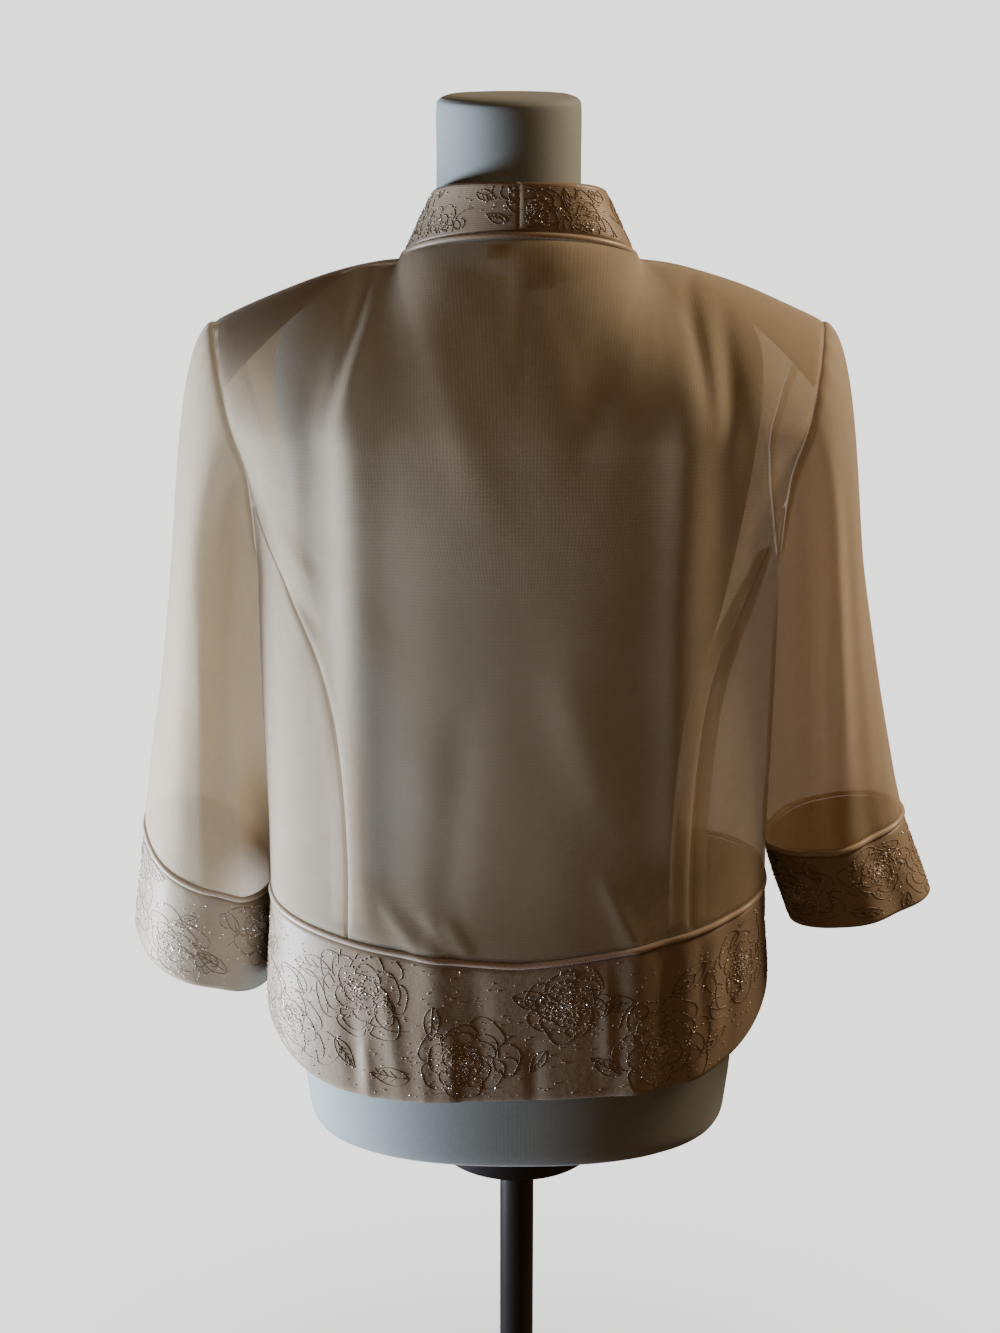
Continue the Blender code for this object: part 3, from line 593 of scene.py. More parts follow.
def shell(u, z, face):
    """A point of a back or front; heights above BLADE go on to 1 over it at the shoulder seam."""
    if z > BLADE:
        return upper_shell(u, z - BLADE, face)
    return torso_ring(u * armhole_share(z, face), z, face)


def level(row, stops, runs):
    """Height for shell() at this row, when each run of rows goes from one stop to the next."""
    for low, high, run in zip(stops, stops[1:], runs):
        if row <= run + 1e-6:
            return low + (high - low) * max(row, 0) / run
        row -= run
    return stops[-1]


def princess_share(z):
    if z >= PRINCESS_TOP:
        return 1.0
    half_width = smooth_row(TORSO, z)[0]
    seam = math.asin(min(1, smooth_row(PRINCESS, z)[0] / half_width)) / (math.pi / 2)
    return min(1.0, seam / armhole_share(z, -1))


def centre_front_share(z):
    """The share of a front's width that the opening at the centre front takes."""
    if z > BLADE:
        start = centre_front_share(BLADE)
        end = NECK_COLUMN * (math.pi - COLLAR_END) / (math.pi / 2)
        return start + (end - start) * (z - BLADE)
    half_width = smooth_row(TORSO, z)[0]
    return math.asin(CENTRE_FRONT_GAP / half_width) / (math.pi / 2) / armhole_share(z, 1)


def armhole_loop(side, count):
    """Points round the armhole, evenly spaced: from the shoulder tip down the back and up the front."""
    raw = []
    over, under_blade = 24, 40
    for face in (-1, 1):
        run = [shell(side, BLADE + n / over, face) for n in range(over, 0, -1)]
        for n in range(under_blade, -1, -1):
            z = UNDERARM + (BLADE - UNDERARM) * (n / under_blade) ** 1.5
            run.append(shell(side, z, face))
        raw += run if face < 0 else run[-2::-1]
    lengths = [0.0]
    for a, b in zip(raw, raw[1:]):
        lengths.append(lengths[-1] + (b - a).length)
    under = raw.index(min(raw, key=lambda p: p.z))
    points = []
    for n in range(count):
        share = 2 * n / count
        if share <= 1:
            target = lengths[under] * share
        else:
            target = lengths[under] + (lengths[-1] - lengths[under]) * (share - 1)
        i = next(k for k in range(1, len(raw)) if lengths[k] >= target - 1e-9)
        step = (target - lengths[i - 1]) / (lengths[i] - lengths[i - 1])
        points.append(raw[i - 1].lerp(raw[i], step))
    return points


def sleeve_ring(side, row, angle):
    """A point on a sleeve ring: angle is 0 at the outer edge and grows towards the back."""
    table = [(n, *r) for n, r in enumerate(LEFT_SLEEVE if side < 0 else RIGHT_SLEEVE)]
    x_lat, z_lat, y, half_width, half_depth, roll, pitch = smooth_row(table, row)
    roll, pitch = math.radians(roll), math.radians(pitch)
    outward = Vector((side * math.cos(roll), 0, math.sin(roll)))
    forward = Vector((0, math.cos(pitch), math.sin(pitch)))
    centre = Vector((side * x_lat, y, z_lat)) - outward * half_width
    out = 0.0
    for fold_side, at, half_angle, depth in SLEEVE_FOLDS:
        if fold_side == side:
            out += depth * bump(turn_between(angle, at), half_angle)
    swell = 1 + (out + sleeve_crease(side, row, angle)) / half_depth
    spoke = outward * half_width * math.cos(angle) - forward * half_depth * math.sin(angle)
    return centre + spoke * swell


def turn_between(angle, at_deg):
    return (math.degrees(angle) - at_deg + 180) % 360 - 180


def sleeve_crease(side, row, angle):
    c, s = math.cos(angle) * UNEVEN_ROUND, math.sin(angle) * UNEVEN_ROUND
    depth = UNEVEN * noise.noise(Vector((c, s, row * UNEVEN_ALONG + side)))
    for crease_side, at, drift, low, high, half_angle, out in SLEEVE_CREASES:
        if crease_side == side:
            share = (row - low) / (high - low)
            away = turn_between(angle, at + drift * share)
            fade = SLEEVE_CREASE_FADE * (high - low)
            depth += out * bump(away, half_angle) * window(row, low, high, fade)
    return depth * min(1, max(0, CREASE_END_ROW - row))


def sleeve_point(side, u, row, loop):
    """A point of the sleeve: row -1 is the armhole, 0 the first full ring, CUFF_SEAM_ROW the cuff."""
    angle = 2 * math.pi * u
    if row >= 0:
        return sleeve_ring(side, row, angle)
    spot = u * len(loop)
    start = loop[int(spot) % len(loop)].lerp(loop[(int(spot) + 1) % len(loop)], spot - int(spot))
    first = sleeve_ring(side, 0, angle)
    down = sleeve_ring(side, 0.1, angle) - first
    outer = (1 + math.cos(angle)) / 2
    reach = (first - start).length
    across = LEAVE_ACROSS + (LEAVE_ACROSS_TIP - LEAVE_ACROSS) * outer
    fall = LEAVE_DOWN + (LEAVE_DOWN_TIP - LEAVE_DOWN) * outer
    leave = Vector((side * across, 0, -fall)) * reach
    start = start + leave.normalized() * SLEEVE_START
    arrive = down.normalized() * reach * ARRIVE
    point = hermite(start, leave, first, arrive, row + 1)
    ease = EASE_DEPTH * math.sin(angle * EASE_WAVES) * bump(row - EASE_ROW, EASE_ROWS) * outer
    return point + leave.normalized().cross(Vector((0, 1, 0))) * -side * ease


def ring_centre(side, row):
    return (sleeve_ring(side, row, 0) + sleeve_ring(side, row, math.pi)) / 2


def piping_rows(side):
    """The room for the piping at the cuff, as a share of a row of the sleeve's table."""
    gap = (ring_centre(side, CUFF_SEAM_ROW + 0.5) - ring_centre(side, CUFF_SEAM_ROW - 0.5)).length
    return PIPING_ROOM / gap


# Materials

WAVE = "ShaderNodeTexWave"
NOISE = "ShaderNodeTexNoise"
MATH = "ShaderNodeMath"
MIX = "ShaderNodeMix"
WEIGHTED = {"operation": "MULTIPLY_ADD"}
IN_COLOUR = {"data_type": "RGBA"}
METRES = {"uv_map": "Metres"}

# The materials made here, by name. The solids bring their own, and one of those is called georgette too.
LOOKS = {}


def linear(code):
    """An sRGB hex colour as linear values."""
    parts = [int(code[i:i + 2], 16) / 255 for i in (0, 2, 4)]
    values = [p / 12.92 if p <= 0.04045 else ((p + 0.055) / 1.055) ** 2.4 for p in parts]
    return (*values, 1.0)


def add_node(tree, kind, settings=None, **links):
    """A node with its settings and its inputs, which are values or other nodes' sockets."""
    node = tree.nodes.new(kind)
    for key, value in (settings or {}).items():
        setattr(node, key, value)
    for key, value in links.items():
        socket = node.inputs[int(key[1:])] if key[1:].isdigit() else node.inputs[key.replace("_", " ")]
        if isinstance(value, bpy.types.NodeSocket):
            tree.links.new(value, socket)
        else:
            socket.default_value = value
    return node


def new_material(name, **values):
    """The nodes and the shader of a material with these plain values."""
    made = LOOKS[name] = bpy.data.materials.new(name)
    made.use_nodes = True
    shader = made.node_tree.nodes["Principled BSDF"]
    for key, value in values.items():
        shader.inputs[key.replace("_", " ")].default_value = value
    return made.node_tree, shader


def wave_scale(pitch):
    """The scale of a wave texture whose bands are this many metres apart."""
    return math.pi / (10 * pitch)


def finish(tree, shader, dark, light, pattern, raised=None, strength=0.0, depth=0.0):
    """Base colour between two hex colours by one pattern, and relief of this depth by another."""
    ends = {"i6": linear(dark), "i7": linear(light)}
    mix = add_node(tree, MIX, IN_COLOUR, i0=pattern, **ends)
    tree.links.new(mix.outputs[2], shader.inputs["Base Color"])
    if raised is not None:
        relief = add_node(tree, "ShaderNodeBump", None, Height=raised, Strength=strength, Distance=depth)
        tree.links.new(relief.outputs[0], shader.inputs["Normal"])


def georgette():
    """Polyester georgette: a thin matt cloth of hard twisted yarns, which lets light through."""
    tree, shader = new_material(
        "georgette", Roughness=0.78, Alpha=0.46, Sheen_Weight=0.2, Sheen_Roughness=0.45,
        Subsurface_Weight=0.8, Subsurface_Radius=(1.0, 0.85, 0.7), Subsurface_Scale=3 * MM
    )
    where = add_node(tree, "ShaderNodeUVMap", METRES).outputs[0]
    # The real yarns lie 0.3 mm apart, which is too fine to show, so they are drawn 1.9 mm apart.
    yarns = {"Vector": where, "Scale": wave_scale(1.9 * MM)}
    warp = add_node(tree, WAVE, {"bands_direction": "X"}, **yarns, Distortion=0.6).outputs[1]
    weft = add_node(tree, WAVE, {"bands_direction": "Y"}, **yarns, Distortion=0.8).outputs[1]
    weave = add_node(tree, MATH, {"operation": "MAXIMUM"}, i0=warp, i1=weft).outputs[0]
    weave = add_node(tree, MATH, WEIGHTED, i0=weave, i1=0.45, i2=0.0).outputs[0]
    uneven = {"Scale": 1 / (11.1 * MM), "Detail": 5, "Roughness": 0.65}
    slubs = add_node(tree, NOISE, None, Vector=where, **uneven).outputs[0]
    both = add_node(tree, MATH, WEIGHTED, i0=slubs, i1=0.6, i2=weave).outputs[0]
    finish(tree, shader, "c0b095", "ddcdb3", both, both, 0.35, 0.6 * MM)


def satin_ground():
    """Polyester satin, heavier than the georgette, with a soft gloss and fine puckers by the threads."""
    tree, shader = new_material("satin_ground", Roughness=0.42, Sheen_Weight=0.15, Specular_IOR_Level=0.4)
    where = add_node(tree, "ShaderNodeUVMap", METRES).outputs[0]
    # Satin floats are 0.2 mm wide; these lines are drawn 1.4 mm apart so that they show.
    lines = {"Scale": wave_scale(1.4 * MM), "Distortion": 1.5}
    floats = add_node(tree, WAVE, {"bands_direction": "Y"}, Vector=where, **lines).outputs[1]
    uneven = {"Scale": 1 / (7.7 * MM), "Detail": 4, "Roughness": 0.6}
    puckers = add_node(tree, NOISE, None, Vector=where, **uneven).outputs[0]
    clouds = add_node(tree, NOISE, None, Vector=where, Scale=1 / (45.5 * MM), Detail=2).outputs[0]
    both = add_node(tree, MATH, WEIGHTED, i0=floats, i1=0.15, i2=puckers).outputs[0]
    finish(tree, shader, "998c7a", "ada08d", clouds, both, 0.45, 0.9 * MM)


def piping_satin():
    """Bias-cut satin over a cord: the gloss runs along it, broken by slanting bias threads."""
    tree, shader = new_material("piping_satin", Roughness=0.34, Specular_IOR_Level=0.5, Sheen_Weight=0.2)
    where = add_node(tree, "ShaderNodeTexCoord").outputs["Object"]
    lines = {"Vector": where, "Scale": wave_scale(2.2 * MM), "Distortion": 2.0}
    bias = add_node(tree, WAVE, {"bands_direction": "DIAGONAL"}, **lines).outputs[1]
    finish(tree, shader, "bcae9a", "c6b9a6", bias, bias, 0.08, 0.2 * MM)


def metallic_thread():
    """Rayon thread with a dark metallic strand, tightly twisted."""
    tree, shader = new_material("metallic_thread", Roughness=0.42, Metallic=0.35)
    where = add_node(tree, "ShaderNodeTexCoord").outputs["Object"]
    twist = add_node(tree, NOISE, None, Vector=where, Scale=1 / (1.11 * MM), Detail=2).outputs[0]
    finish(tree, shader, "74685a", "a09382", twist)


def glitter():
    """Cut glass and metal foil grains, glued on: bright and sharp."""
    tree, shader = new_material("glitter", Roughness=0.25, Metallic=0.25, Specular_IOR_Level=0.9)
    where = add_node(tree, "ShaderNodeTexCoord").outputs["Object"]
    grains = add_node(tree, NOISE, None, Vector=where, Scale=1 / (2.5 * MM), Detail=1).outputs[0]
    finish(tree, shader, "ece4d2", "ffffff", grains)


def wadding():
    """Needled polyester wadding in a beige cover."""
    tree, shader = new_material("wadding", Roughness=0.92)
    where = add_node(tree, "ShaderNodeTexCoord").outputs["Object"]
    tufts = {"Scale": 1 / (3.85 * MM), "Detail": 6, "Roughness": 0.7}
    fluff = add_node(tree, NOISE, None, Vector=where, **tufts).outputs[0]
    finish(tree, shader, "76674f", "8d7d66", fluff, fluff, 0.4, 1 * MM)


def label_tape():
    """Damask label tape, woven in black, with no lettering."""
    tree, shader = new_material("label_tape", Roughness=0.55, Sheen_Weight=0.3)
    where = add_node(tree, "ShaderNodeUVMap", METRES).outputs[0]
    across = {"bands_direction": "Y"}
    ribs = add_node(tree, WAVE, across, Vector=where, Scale=wave_scale(0.9 * MM)).outputs[1]
    finish(tree, shader, "0d0d10", "1e1e24", ribs, ribs, 0.3, 0.2 * MM)


def jersey_cover():
    """Pale cotton jersey stretched over the form: matt, with fine upright wales."""
    tree, shader = new_material("jersey_cover", Roughness=0.72, Sheen_Weight=0.2)
    where = add_node(tree, "ShaderNodeUVMap", METRES).outputs[0]
    # Wales of a real jersey are 0.6 mm wide; they are drawn 1.6 mm wide so that they show.
    upright = {"bands_direction": "X"}
    wales = add_node(tree, WAVE, upright, Vector=where, Scale=wave_scale(1.6 * MM)).outputs[1]
    fuzz = add_node(tree, NOISE, None, Vector=where, Scale=1 / (3.33 * MM), Detail=4).outputs[0]
    both = add_node(tree, MATH, WEIGHTED, i0=wales, i1=0.2, i2=fuzz).outputs[0]
    finish(tree, shader, "8a999c", "9ba9ab", both, both, 0.12, 0.4 * MM)


def stand_enamel():
    """Mild steel with black baked enamel, slightly uneven from the spray."""
    tree, shader = new_material("stand_enamel", Roughness=0.34, Coat_Weight=0.3, Coat_Roughness=0.2)
    where = add_node(tree, "ShaderNodeTexCoord").outputs["Object"]
    peel = add_node(tree, NOISE, None, Vector=where, Scale=1 / (2 * MM), Detail=2).outputs[0]
    finish(tree, shader, "141416", "212124", peel, peel, 0.08, 0.3 * MM)


def studio_floor():
    """Painted board, pale to the camera; where it shows through the sheer cloth it takes a darker colour, a
    painted shade.
    """
    tree, shader = new_material("studio_floor", Roughness=0.9)
    where = add_node(tree, "ShaderNodeTexCoord").outputs["Object"]
    cloud = add_node(tree, NOISE, None, Vector=where, Scale=1 / 2.5, Detail=1).outputs[0]
    ends = {"i6": linear("dcdcdc"), "i7": linear("e0e0e0")}
    pale = add_node(tree, MIX, IN_COLOUR, i0=cloud, **ends).outputs[2]
    behind = add_node(tree, "ShaderNodeLightPath").outputs["Transparent Depth"]
    # Painted shade: seen through the cloth, the floor gets the dark colour 6e665c in place of its pale one.
    painted_shade_behind_cloth = add_node(tree, MATH, {"operation": "GREATER_THAN"}, i0=behind, i1=0.5).outputs[0]
    seen = add_node(tree, MIX, IN_COLOUR, i0=painted_shade_behind_cloth, i6=pale, i7=linear("6e665c")).outputs[2]
    tree.links.new(seen, shader.inputs["Base Color"])


# Making pieces


def link_piece(name, mesh, look, slot, *nodes):
    """Puts a finished mesh into the scene as a piece of the part."""
    piece = bpy.data.objects.new(name, mesh)
    mesh.materials.append(LOOKS[look])
    bpy.context.scene.collection.objects.link(piece)
    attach(piece, "root")
    if nodes:
        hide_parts(*nodes)
    return piece


class Surface:
    """A grid of points on a surface, place(u, v), with the unit vectors out of it there."""

    def __init__(self, place, columns, rows, size, closed=False):
        self.columns, self.rows, self.size, self.closed = columns, rows, size, closed
        self.points = [[place(i / columns, j / rows) for i in range(columns + 1)] for j in range(rows + 1)]
        self.outs = [[self.slope(i, j) for i in range(columns + 1)] for j in range(rows + 1)]

    def slope(self, i, j):
        left, right = max(i - 1, 0), min(i + 1, self.columns)
        if self.closed and i in {0, self.columns}:
            left, right = self.columns - 1, 1
        across = self.points[j][right] - self.points[j][left]
        along = self.points[min(j + 1, self.rows)][i] - self.points[max(j - 1, 0)][i]
        return across.cross(along).normalized()

    def lifted(self, u, v, lift):
        """The point at u, v on the grid's flat pieces, moved out by lift."""
        x, y = u * self.columns, v * self.rows
        i, j = min(int(x), self.columns - 1), min(int(y), self.rows - 1)
        found = []
        for grid in (self.points, self.outs):
            low = grid[j][i].lerp(grid[j][i + 1], x - i)
            found.append(low.lerp(grid[j + 1][i].lerp(grid[j + 1][i + 1], x - i), y - j))
        return found[0] + found[1] * lift


def add_patch(bm, surface, seams="lrbt", dip=SEAM_DIP, under=0.0):
    """The surface as faces. Edges named in seams roll in by dip; under moves the whole inside."""
    layer = bm.loops.layers.uv.verify()
    columns, rows = surface.columns, surface.rows
    width, height = surface.size
    grid = bmesh.ops.create_grid(bm, x_segments=columns, y_segments=rows, size=0.5)["verts"]
    flat = {vert: (vert.co.x + 0.5, vert.co.y + 0.5) for vert in grid}
    for face in {face for vert in grid for face in vert.link_faces}:
        for loop in face.loops:
            u, v = flat[loop.vert]
            loop[layer].uv = (u * width, v * height)
    for vert, (u, v) in flat.items():
        edges = {"l": u * width, "r": (1 - u) * width, "b": v * height, "t": (1 - v) * height}
        depth = max((bump(edges[e], SEAM_ROLL) for e in seams), default=0) * dip + under
        i, j = round(u * columns), round(v * rows)
        vert.co = surface.points[j][i] - surface.outs[j][i] * depth
    if surface.closed:
        bmesh.ops.remove_doubles(bm, verts=grid, dist=MERGE)


def bare_mesh(bm, name):
    mesh = bpy.data.meshes.new(name)
    bm.to_mesh(mesh)
    bm.free()
    return mesh


def smooth_mesh(bm, name, sharp_deg=None):
    """A smooth mesh, with its edges sharp above this angle if one is given."""
    mesh = bare_mesh(bm, name)
    mesh.shade_smooth()
    if sharp_deg:
        mesh.set_sharp_from_angle(angle=math.radians(sharp_deg))
    return mesh


def cloth_piece(node, kind, *patches):
    """The shell that stands for a node. Each patch is a Surface and its values for add_patch."""
    thickness, slot, look = KINDS[kind]
    bm = bmesh.new()
    for surface, values in patches:
        add_patch(bm, surface, **values)
    mesh = smooth_mesh(bm, f"{node}_{kind}")
    mesh.uv_layers[0].name = "Metres"
    piece = link_piece(f"{node}_{kind}", mesh, look, slot, node)
    wall = piece.modifiers.new("Wall", "SOLIDIFY")
    wall.thickness = thickness
    wall.offset = -1
    return piece


def tube_mesh(name, routes, radius, sides, closed=False):
    """One mesh of round cords, each along a list of points."""
    curve = bpy.data.curves.new(name, "CURVE")
    curve.dimensions = "3D"
    curve.bevel_depth = radius
    curve.bevel_resolution = sides
    curve.use_fill_caps = not closed
    for route in routes:
        spline = curve.splines.new("POLY")
        spline.points.add(len(route) - 1)
        for spot, point in zip(spline.points, route):
            spot.co = (*point, 1)
        spline.use_cyclic_u = closed
    guide = bpy.data.objects.new(name, curve)
    bpy.context.scene.collection.objects.link(guide)
    shaped = guide.evaluated_get(bpy.context.evaluated_depsgraph_get())
    mesh = bpy.data.meshes.new_from_object(shaped)
    bpy.data.objects.remove(guide)
    bpy.data.curves.remove(curve)
    mesh.materials.clear()
    mesh.shade_smooth()
    return mesh


def cord_piece(node, line, closed=False):
    mesh = tube_mesh(f"{node}_cord", [line], PIPING_R, 3, closed)
    link_piece(f"{node}_cord", mesh, "piping_satin", "satin_piping", node)


# The cloth panels


def back_pieces():
    runs = (52, 8, 50)

    def centre(u, v):
        side = 2 * u - 1
        foot = piping_height(side * princess_share(SEAM_LEVEL), -1) + PIPING_ROOM
        z = level(v * sum(runs), (foot, SIDE_BACK_TOP, BLADE, SHELL_TOP), runs)
        return shell(side * princess_share(z), z, -1)

    def allowance(side):
        def place(u, v):
            z = PIPING_SIDE + (PRINCESS_TOP - ALLOWANCE_END - PIPING_SIDE) * v
            half = ALLOWANCE / (smooth_row(TORSO, z)[0] * math.pi / 2)
            return shell(side * princess_share(z) + (2 * u - 1) * half * ALLOWANCE_SPREAD, z, -1)
        return Surface(place, 6, 50, (2 * ALLOWANCE, 0.28)), {"seams": "", "under": ALLOWANCE_UNDER}

    body = Surface(centre, 120, sum(runs), (0.38, 0.52)), {}
    back = cloth_piece("back_centre", "cloth", body, allowance(-1), allowance(1))
    for side, word in SIDES:
        def panel(u, v, side=side):
            across = u if side > 0 else 1 - u
            seam = princess_share(SEAM_LEVEL)
            foot = piping_height(side * (seam + (1 - seam) * across), -1) + PIPING_ROOM
            z = foot + (SIDE_BACK_TOP - foot) * v
            seam = princess_share(z)
            return shell(side * (seam + (1 - seam) * across), z, -1)

        patch = Surface(panel, 30, 70, (0.12, 0.30)), {}
        piece = cloth_piece(f"back_side_{word}", "cloth", patch)


def front_pieces():
    runs = (50, 40)
    for side, word in SIDES:
        def panel(u, v, side=side):
            across = u if side < 0 else 1 - u
            foot = piping_height(side * across, 1) + PIPING_ROOM
            z = level(v * sum(runs), (foot, BLADE, SHELL_TOP), runs)
            edge = centre_front_share(z)
            return shell(side * (edge + (1 - edge) * across), z, 1)

        patch = Surface(panel, 60, sum(runs), (0.25, 0.48)), {}
        piece = cloth_piece(f"front_{word}", "cloth", patch)


def sleeve_pieces():
    for side, word in SIDES:
        loop = armhole_loop(side, 192)
        room = piping_rows(side)

        def sleeve(u, v, side=side, loop=loop, room=room):
            row = v / SLEEVE_HEAD - 1
            if row >= 0:
                row = (v - SLEEVE_HEAD) / (1 - SLEEVE_HEAD) * (CUFF_SEAM_ROW - room)
            return sleeve_point(side, u if side > 0 else 1 - u, row, loop)

        def armhole_allowance(u, v, side=side, loop=loop):
            low, high = ARMHOLE_ALLOWANCE_ROWS
            return sleeve_point(side, u if side > 0 else 1 - u, low + (high - low) * v, loop)

        body = Surface(sleeve, SLEEVE_COLUMNS, 96, (0.38, 0.42), closed=True), {"seams": "bt"}
        turned_in = Surface(armhole_allowance, SLEEVE_COLUMNS, 3, (0.40, 0.010), closed=True)
        under = {"seams": "", "under": ARMHOLE_ALLOWANCE_UNDER}
        piece = cloth_piece(f"sleeve_{word}", "cloth", body, (turned_in, under))

        def cuff(u, v, side=side, room=room):
            row = CUFF_SEAM_ROW + room + (1 - room) * v
            return sleeve_ring(side, row, 2 * math.pi * (u if side > 0 else 1 - u))

        surface = Surface(cuff, SLEEVE_COLUMNS, 24, (0.35, 0.08), closed=True)
        band = cloth_piece(f"cuff_{word}", "satin", (surface, {"seams": "b"}))
        embroider(f"cuff_{word}", surface, 37 + side)
        centre = ring_centre(side, CUFF_SEAM_ROW)
        line = []
        for n in range(CORD_STEPS):
            point = sleeve_ring(side, CUFF_SEAM_ROW, 2 * math.pi * n / CORD_STEPS)
            line.append(point + (centre - point).normalized() * PIPING_SUNK)
        cord_piece(f"cuff_piping_{word}", line, closed=True)


def hem_pieces():
    back = arc_shares(-1, 1, -1)

    def band(w, v, face):
        low, high = hem_height(w, face), piping_height(w, face) - PIPING_ROOM
        return torso_ring(w, low + (high - low) * v, face)

    surface = Surface(lambda u, v: band(share_at(back, u), v, -1), 170, 30, (back[-1][0], 0.10))
    piece = cloth_piece("hem_band_back", "satin", (surface, {"seams": "t"}))
    embroider("hem_band_back", surface, 11)
    edge = centre_front_share(BAND_LEVEL)
    for side, word in SIDES:
        arc = arc_shares(side * edge, side, 1)

        def front(u, v, side=side, arc=arc):
            return band(share_at(arc, u if side < 0 else 1 - u), v, 1)

        surface = Surface(front, 85, 30, (arc[-1][0], 0.10))
        embroider(f"hem_band_front_{word}", surface, 23 + side)
        piece = cloth_piece(f"hem_band_front_{word}", "satin", (surface, {"seams": "t"}))
    route = [(edge + (1 - edge) * n / 60, 1) for n in range(60)]
    route += [(1 - n / 70, -1) for n in range(70)]
    sides = [[torso_ring(s * w, piping_height(s * w, face), face) for w, face in route] for s in (1, -1)]
    line = sides[0] + [torso_ring(0, piping_height(0, -1), -1)] + sides[1][::-1]
    line = [p + Vector((-p.x, -p.y, 0)).normalized() * PIPING_SUNK for p in line]
    cord_piece("hem_piping", line)


def arc_shares(start, end, face):
    """Pairs of length along the ring and share of the way round it."""
    pairs = [(0.0, start)]
    last = torso_ring(start, ARC_LEVEL, face, folded=False)
    for n in range(1, ARC_STEPS + 1):
        w = start + (end - start) * n / ARC_STEPS
        point = torso_ring(w, ARC_LEVEL, face, folded=False)
        pairs.append((pairs[-1][0] + (point - last).length, w))
        last = point
    return pairs


def share_at(pairs, u):
    """The share of the way round at u, 0 to 1, of the arc's length."""
    target = min(max(u, 0), 1) * pairs[-1][0]
    i = next((k for k in range(1, len(pairs)) if pairs[k][0] >= target), len(pairs) - 1)
    (low, a), (high, b) = pairs[i - 1], pairs[i]
    return a + (b - a) * (target - low) / (high - low)


def collar_point(angle, v):
    foot, top = neckline(abs(angle)), collar_top(abs(angle))
    foot = foot + (top - foot).normalized() * PIPING_ROOM
    return on_side(foot.lerp(top, v), angle)


def collar_pieces():
    for side, word in SIDES:
        def half(u, v, side=side):
            angle = COLLAR_END * (u if side > 0 else 1 - u)
            return collar_point(side * max(angle, COLLAR_MIDDLE), v)

        surface = Surface(half, 70, 14, (0.21, 0.034))
        embroider(f"collar_{word}", surface, 51 + side, pitch=0.056, size=0.023, grains_each=70)
        piece = cloth_piece(f"collar_{word}", "satin", (surface, {"seams": "b", "dip": COLLAR_DIP}))
    line = []
    for n in range(CORD_STEPS + 1):
        angle = COLLAR_END * (2 * n / CORD_STEPS - 1)
        point = on_side(neckline(abs(angle)), angle)
        line.append(point + Vector((-point.x, NECK_POINT.y - point.y, 0)).normalized() * PIPING_SUNK)
    cord_piece("collar_piping", line)


def pad_pieces():
    for side, word in SIDES:
        def pad(u, v, side=side):
            grow = u if side > 0 else 1 - u
            across = PAD_START + (PAD_END - PAD_START) * grow
            along = (2 * v - 1) * (PAD_TIP_REACH + (PAD_REACH - PAD_TIP_REACH) * grow**0.8)
            face = 1 if along > 0 else -1
            t = min(1 - abs(along) / SHOULDER_LENGTH, PAD_END)
            point = shell(side * across, BLADE + t, face)
            return point - Vector((0, face * (1 - t) * UPPER_TURN, 1)).normalized() * PAD_ROOM

        patch = Surface(pad, 40, 50, (0.08, 0.16)), {"seams": ""}
        piece = cloth_piece(f"shoulder_pad_{word}", "wadding", patch)
        group = piece.vertex_groups.new(name="Thickness")
        for vert in piece.data.vertices:
            grow = (abs(vert.co.x) - PAD_THIN_X) / (PAD_FULL_X - PAD_THIN_X)
            share = min(max(grow, 0), 1) * bump(vert.co.y, PAD_RIDGE)
            group.add([vert.index], max(share, PAD_THIN_SHARE), "REPLACE")
        piece.modifiers["Wall"].vertex_group = "Thickness"


def label_pieces():
    """The blank woven label and the small size tab, inside the back neck."""
    for node, left, right, length in LABELS:
        def strip(u, v, left=left, right=right, length=length):
            x = left + (right - left) * u
            share = math.asin(x / NECK_POINT.x) / (math.pi / 2) * NECK_COLUMN
            point = upper_shell(share, 1 - (LABEL_DROP + length * (1 - v)) / UPPER_LENGTH, -1)
            return Vector((x, point.y, point.z)) - LABEL_OUT * LABEL_ROOM

        patch = Surface(strip, 8, 14, (right - left, length)), {"seams": ""}
        piece = cloth_piece(node, "tape", patch)


# Embroidery and glitter


def petal_edge(centre, radius, start, span, squash, rng):
    """The wavy outer edge of one petal, which turns in at both ends."""
    wave = rng.uniform(*ANY_TURN)
    points = []
    for n in range(PETAL_POINTS + 1):
        t = n / PETAL_POINTS
        turn_in = 1 - PETAL_TURN_IN + PETAL_TURN_IN * math.sin(math.pi * t) ** 0.6
        r = radius * turn_in * (1 + PETAL_WAVE * math.sin(PETAL_WAVES * t + wave))
        points.append(around(centre, r, start + span * t, squash))
    return points


def around(centre, r, angle, squash):
    """A point of a squashed circle."""
    return centre[0] + r * math.cos(angle), centre[1] + squash * r * math.sin(angle)


def flower(centre, size, turn, rng):
    """Lines of a full-blown flower: a curled heart and rounds of petals with their folds."""
    squash = rng.uniform(*SQUASH)
    heart = []
    for n in range(HEART_POINTS):
        r = size * (HEART_START + HEART_STEP * n)
        heart.append(around(centre, r, turn + n * HEART_TURN, squash))
    lines = [heart]
    for radius, count in PETAL_ROUNDS:
        offset = turn + radius * 3 + rng.uniform(0, 0.6)
        span = 2 * math.pi / count
        for n in range(count):
            start = offset + n * span
            reach = size * radius * rng.uniform(0.90, 1.08)
            if radius == PETAL_ROUNDS[-1][0] and rng.random() < PETAL_GONE:
                continue
            lines.append(petal_edge(centre, reach, start, span * rng.uniform(0.90, 1.04), squash, rng))
            fold = [around(centre, reach * r, start + 0.1 * k, squash) for k, r in enumerate(PETAL_FOLD)]
            lines.append(fold)
    return lines


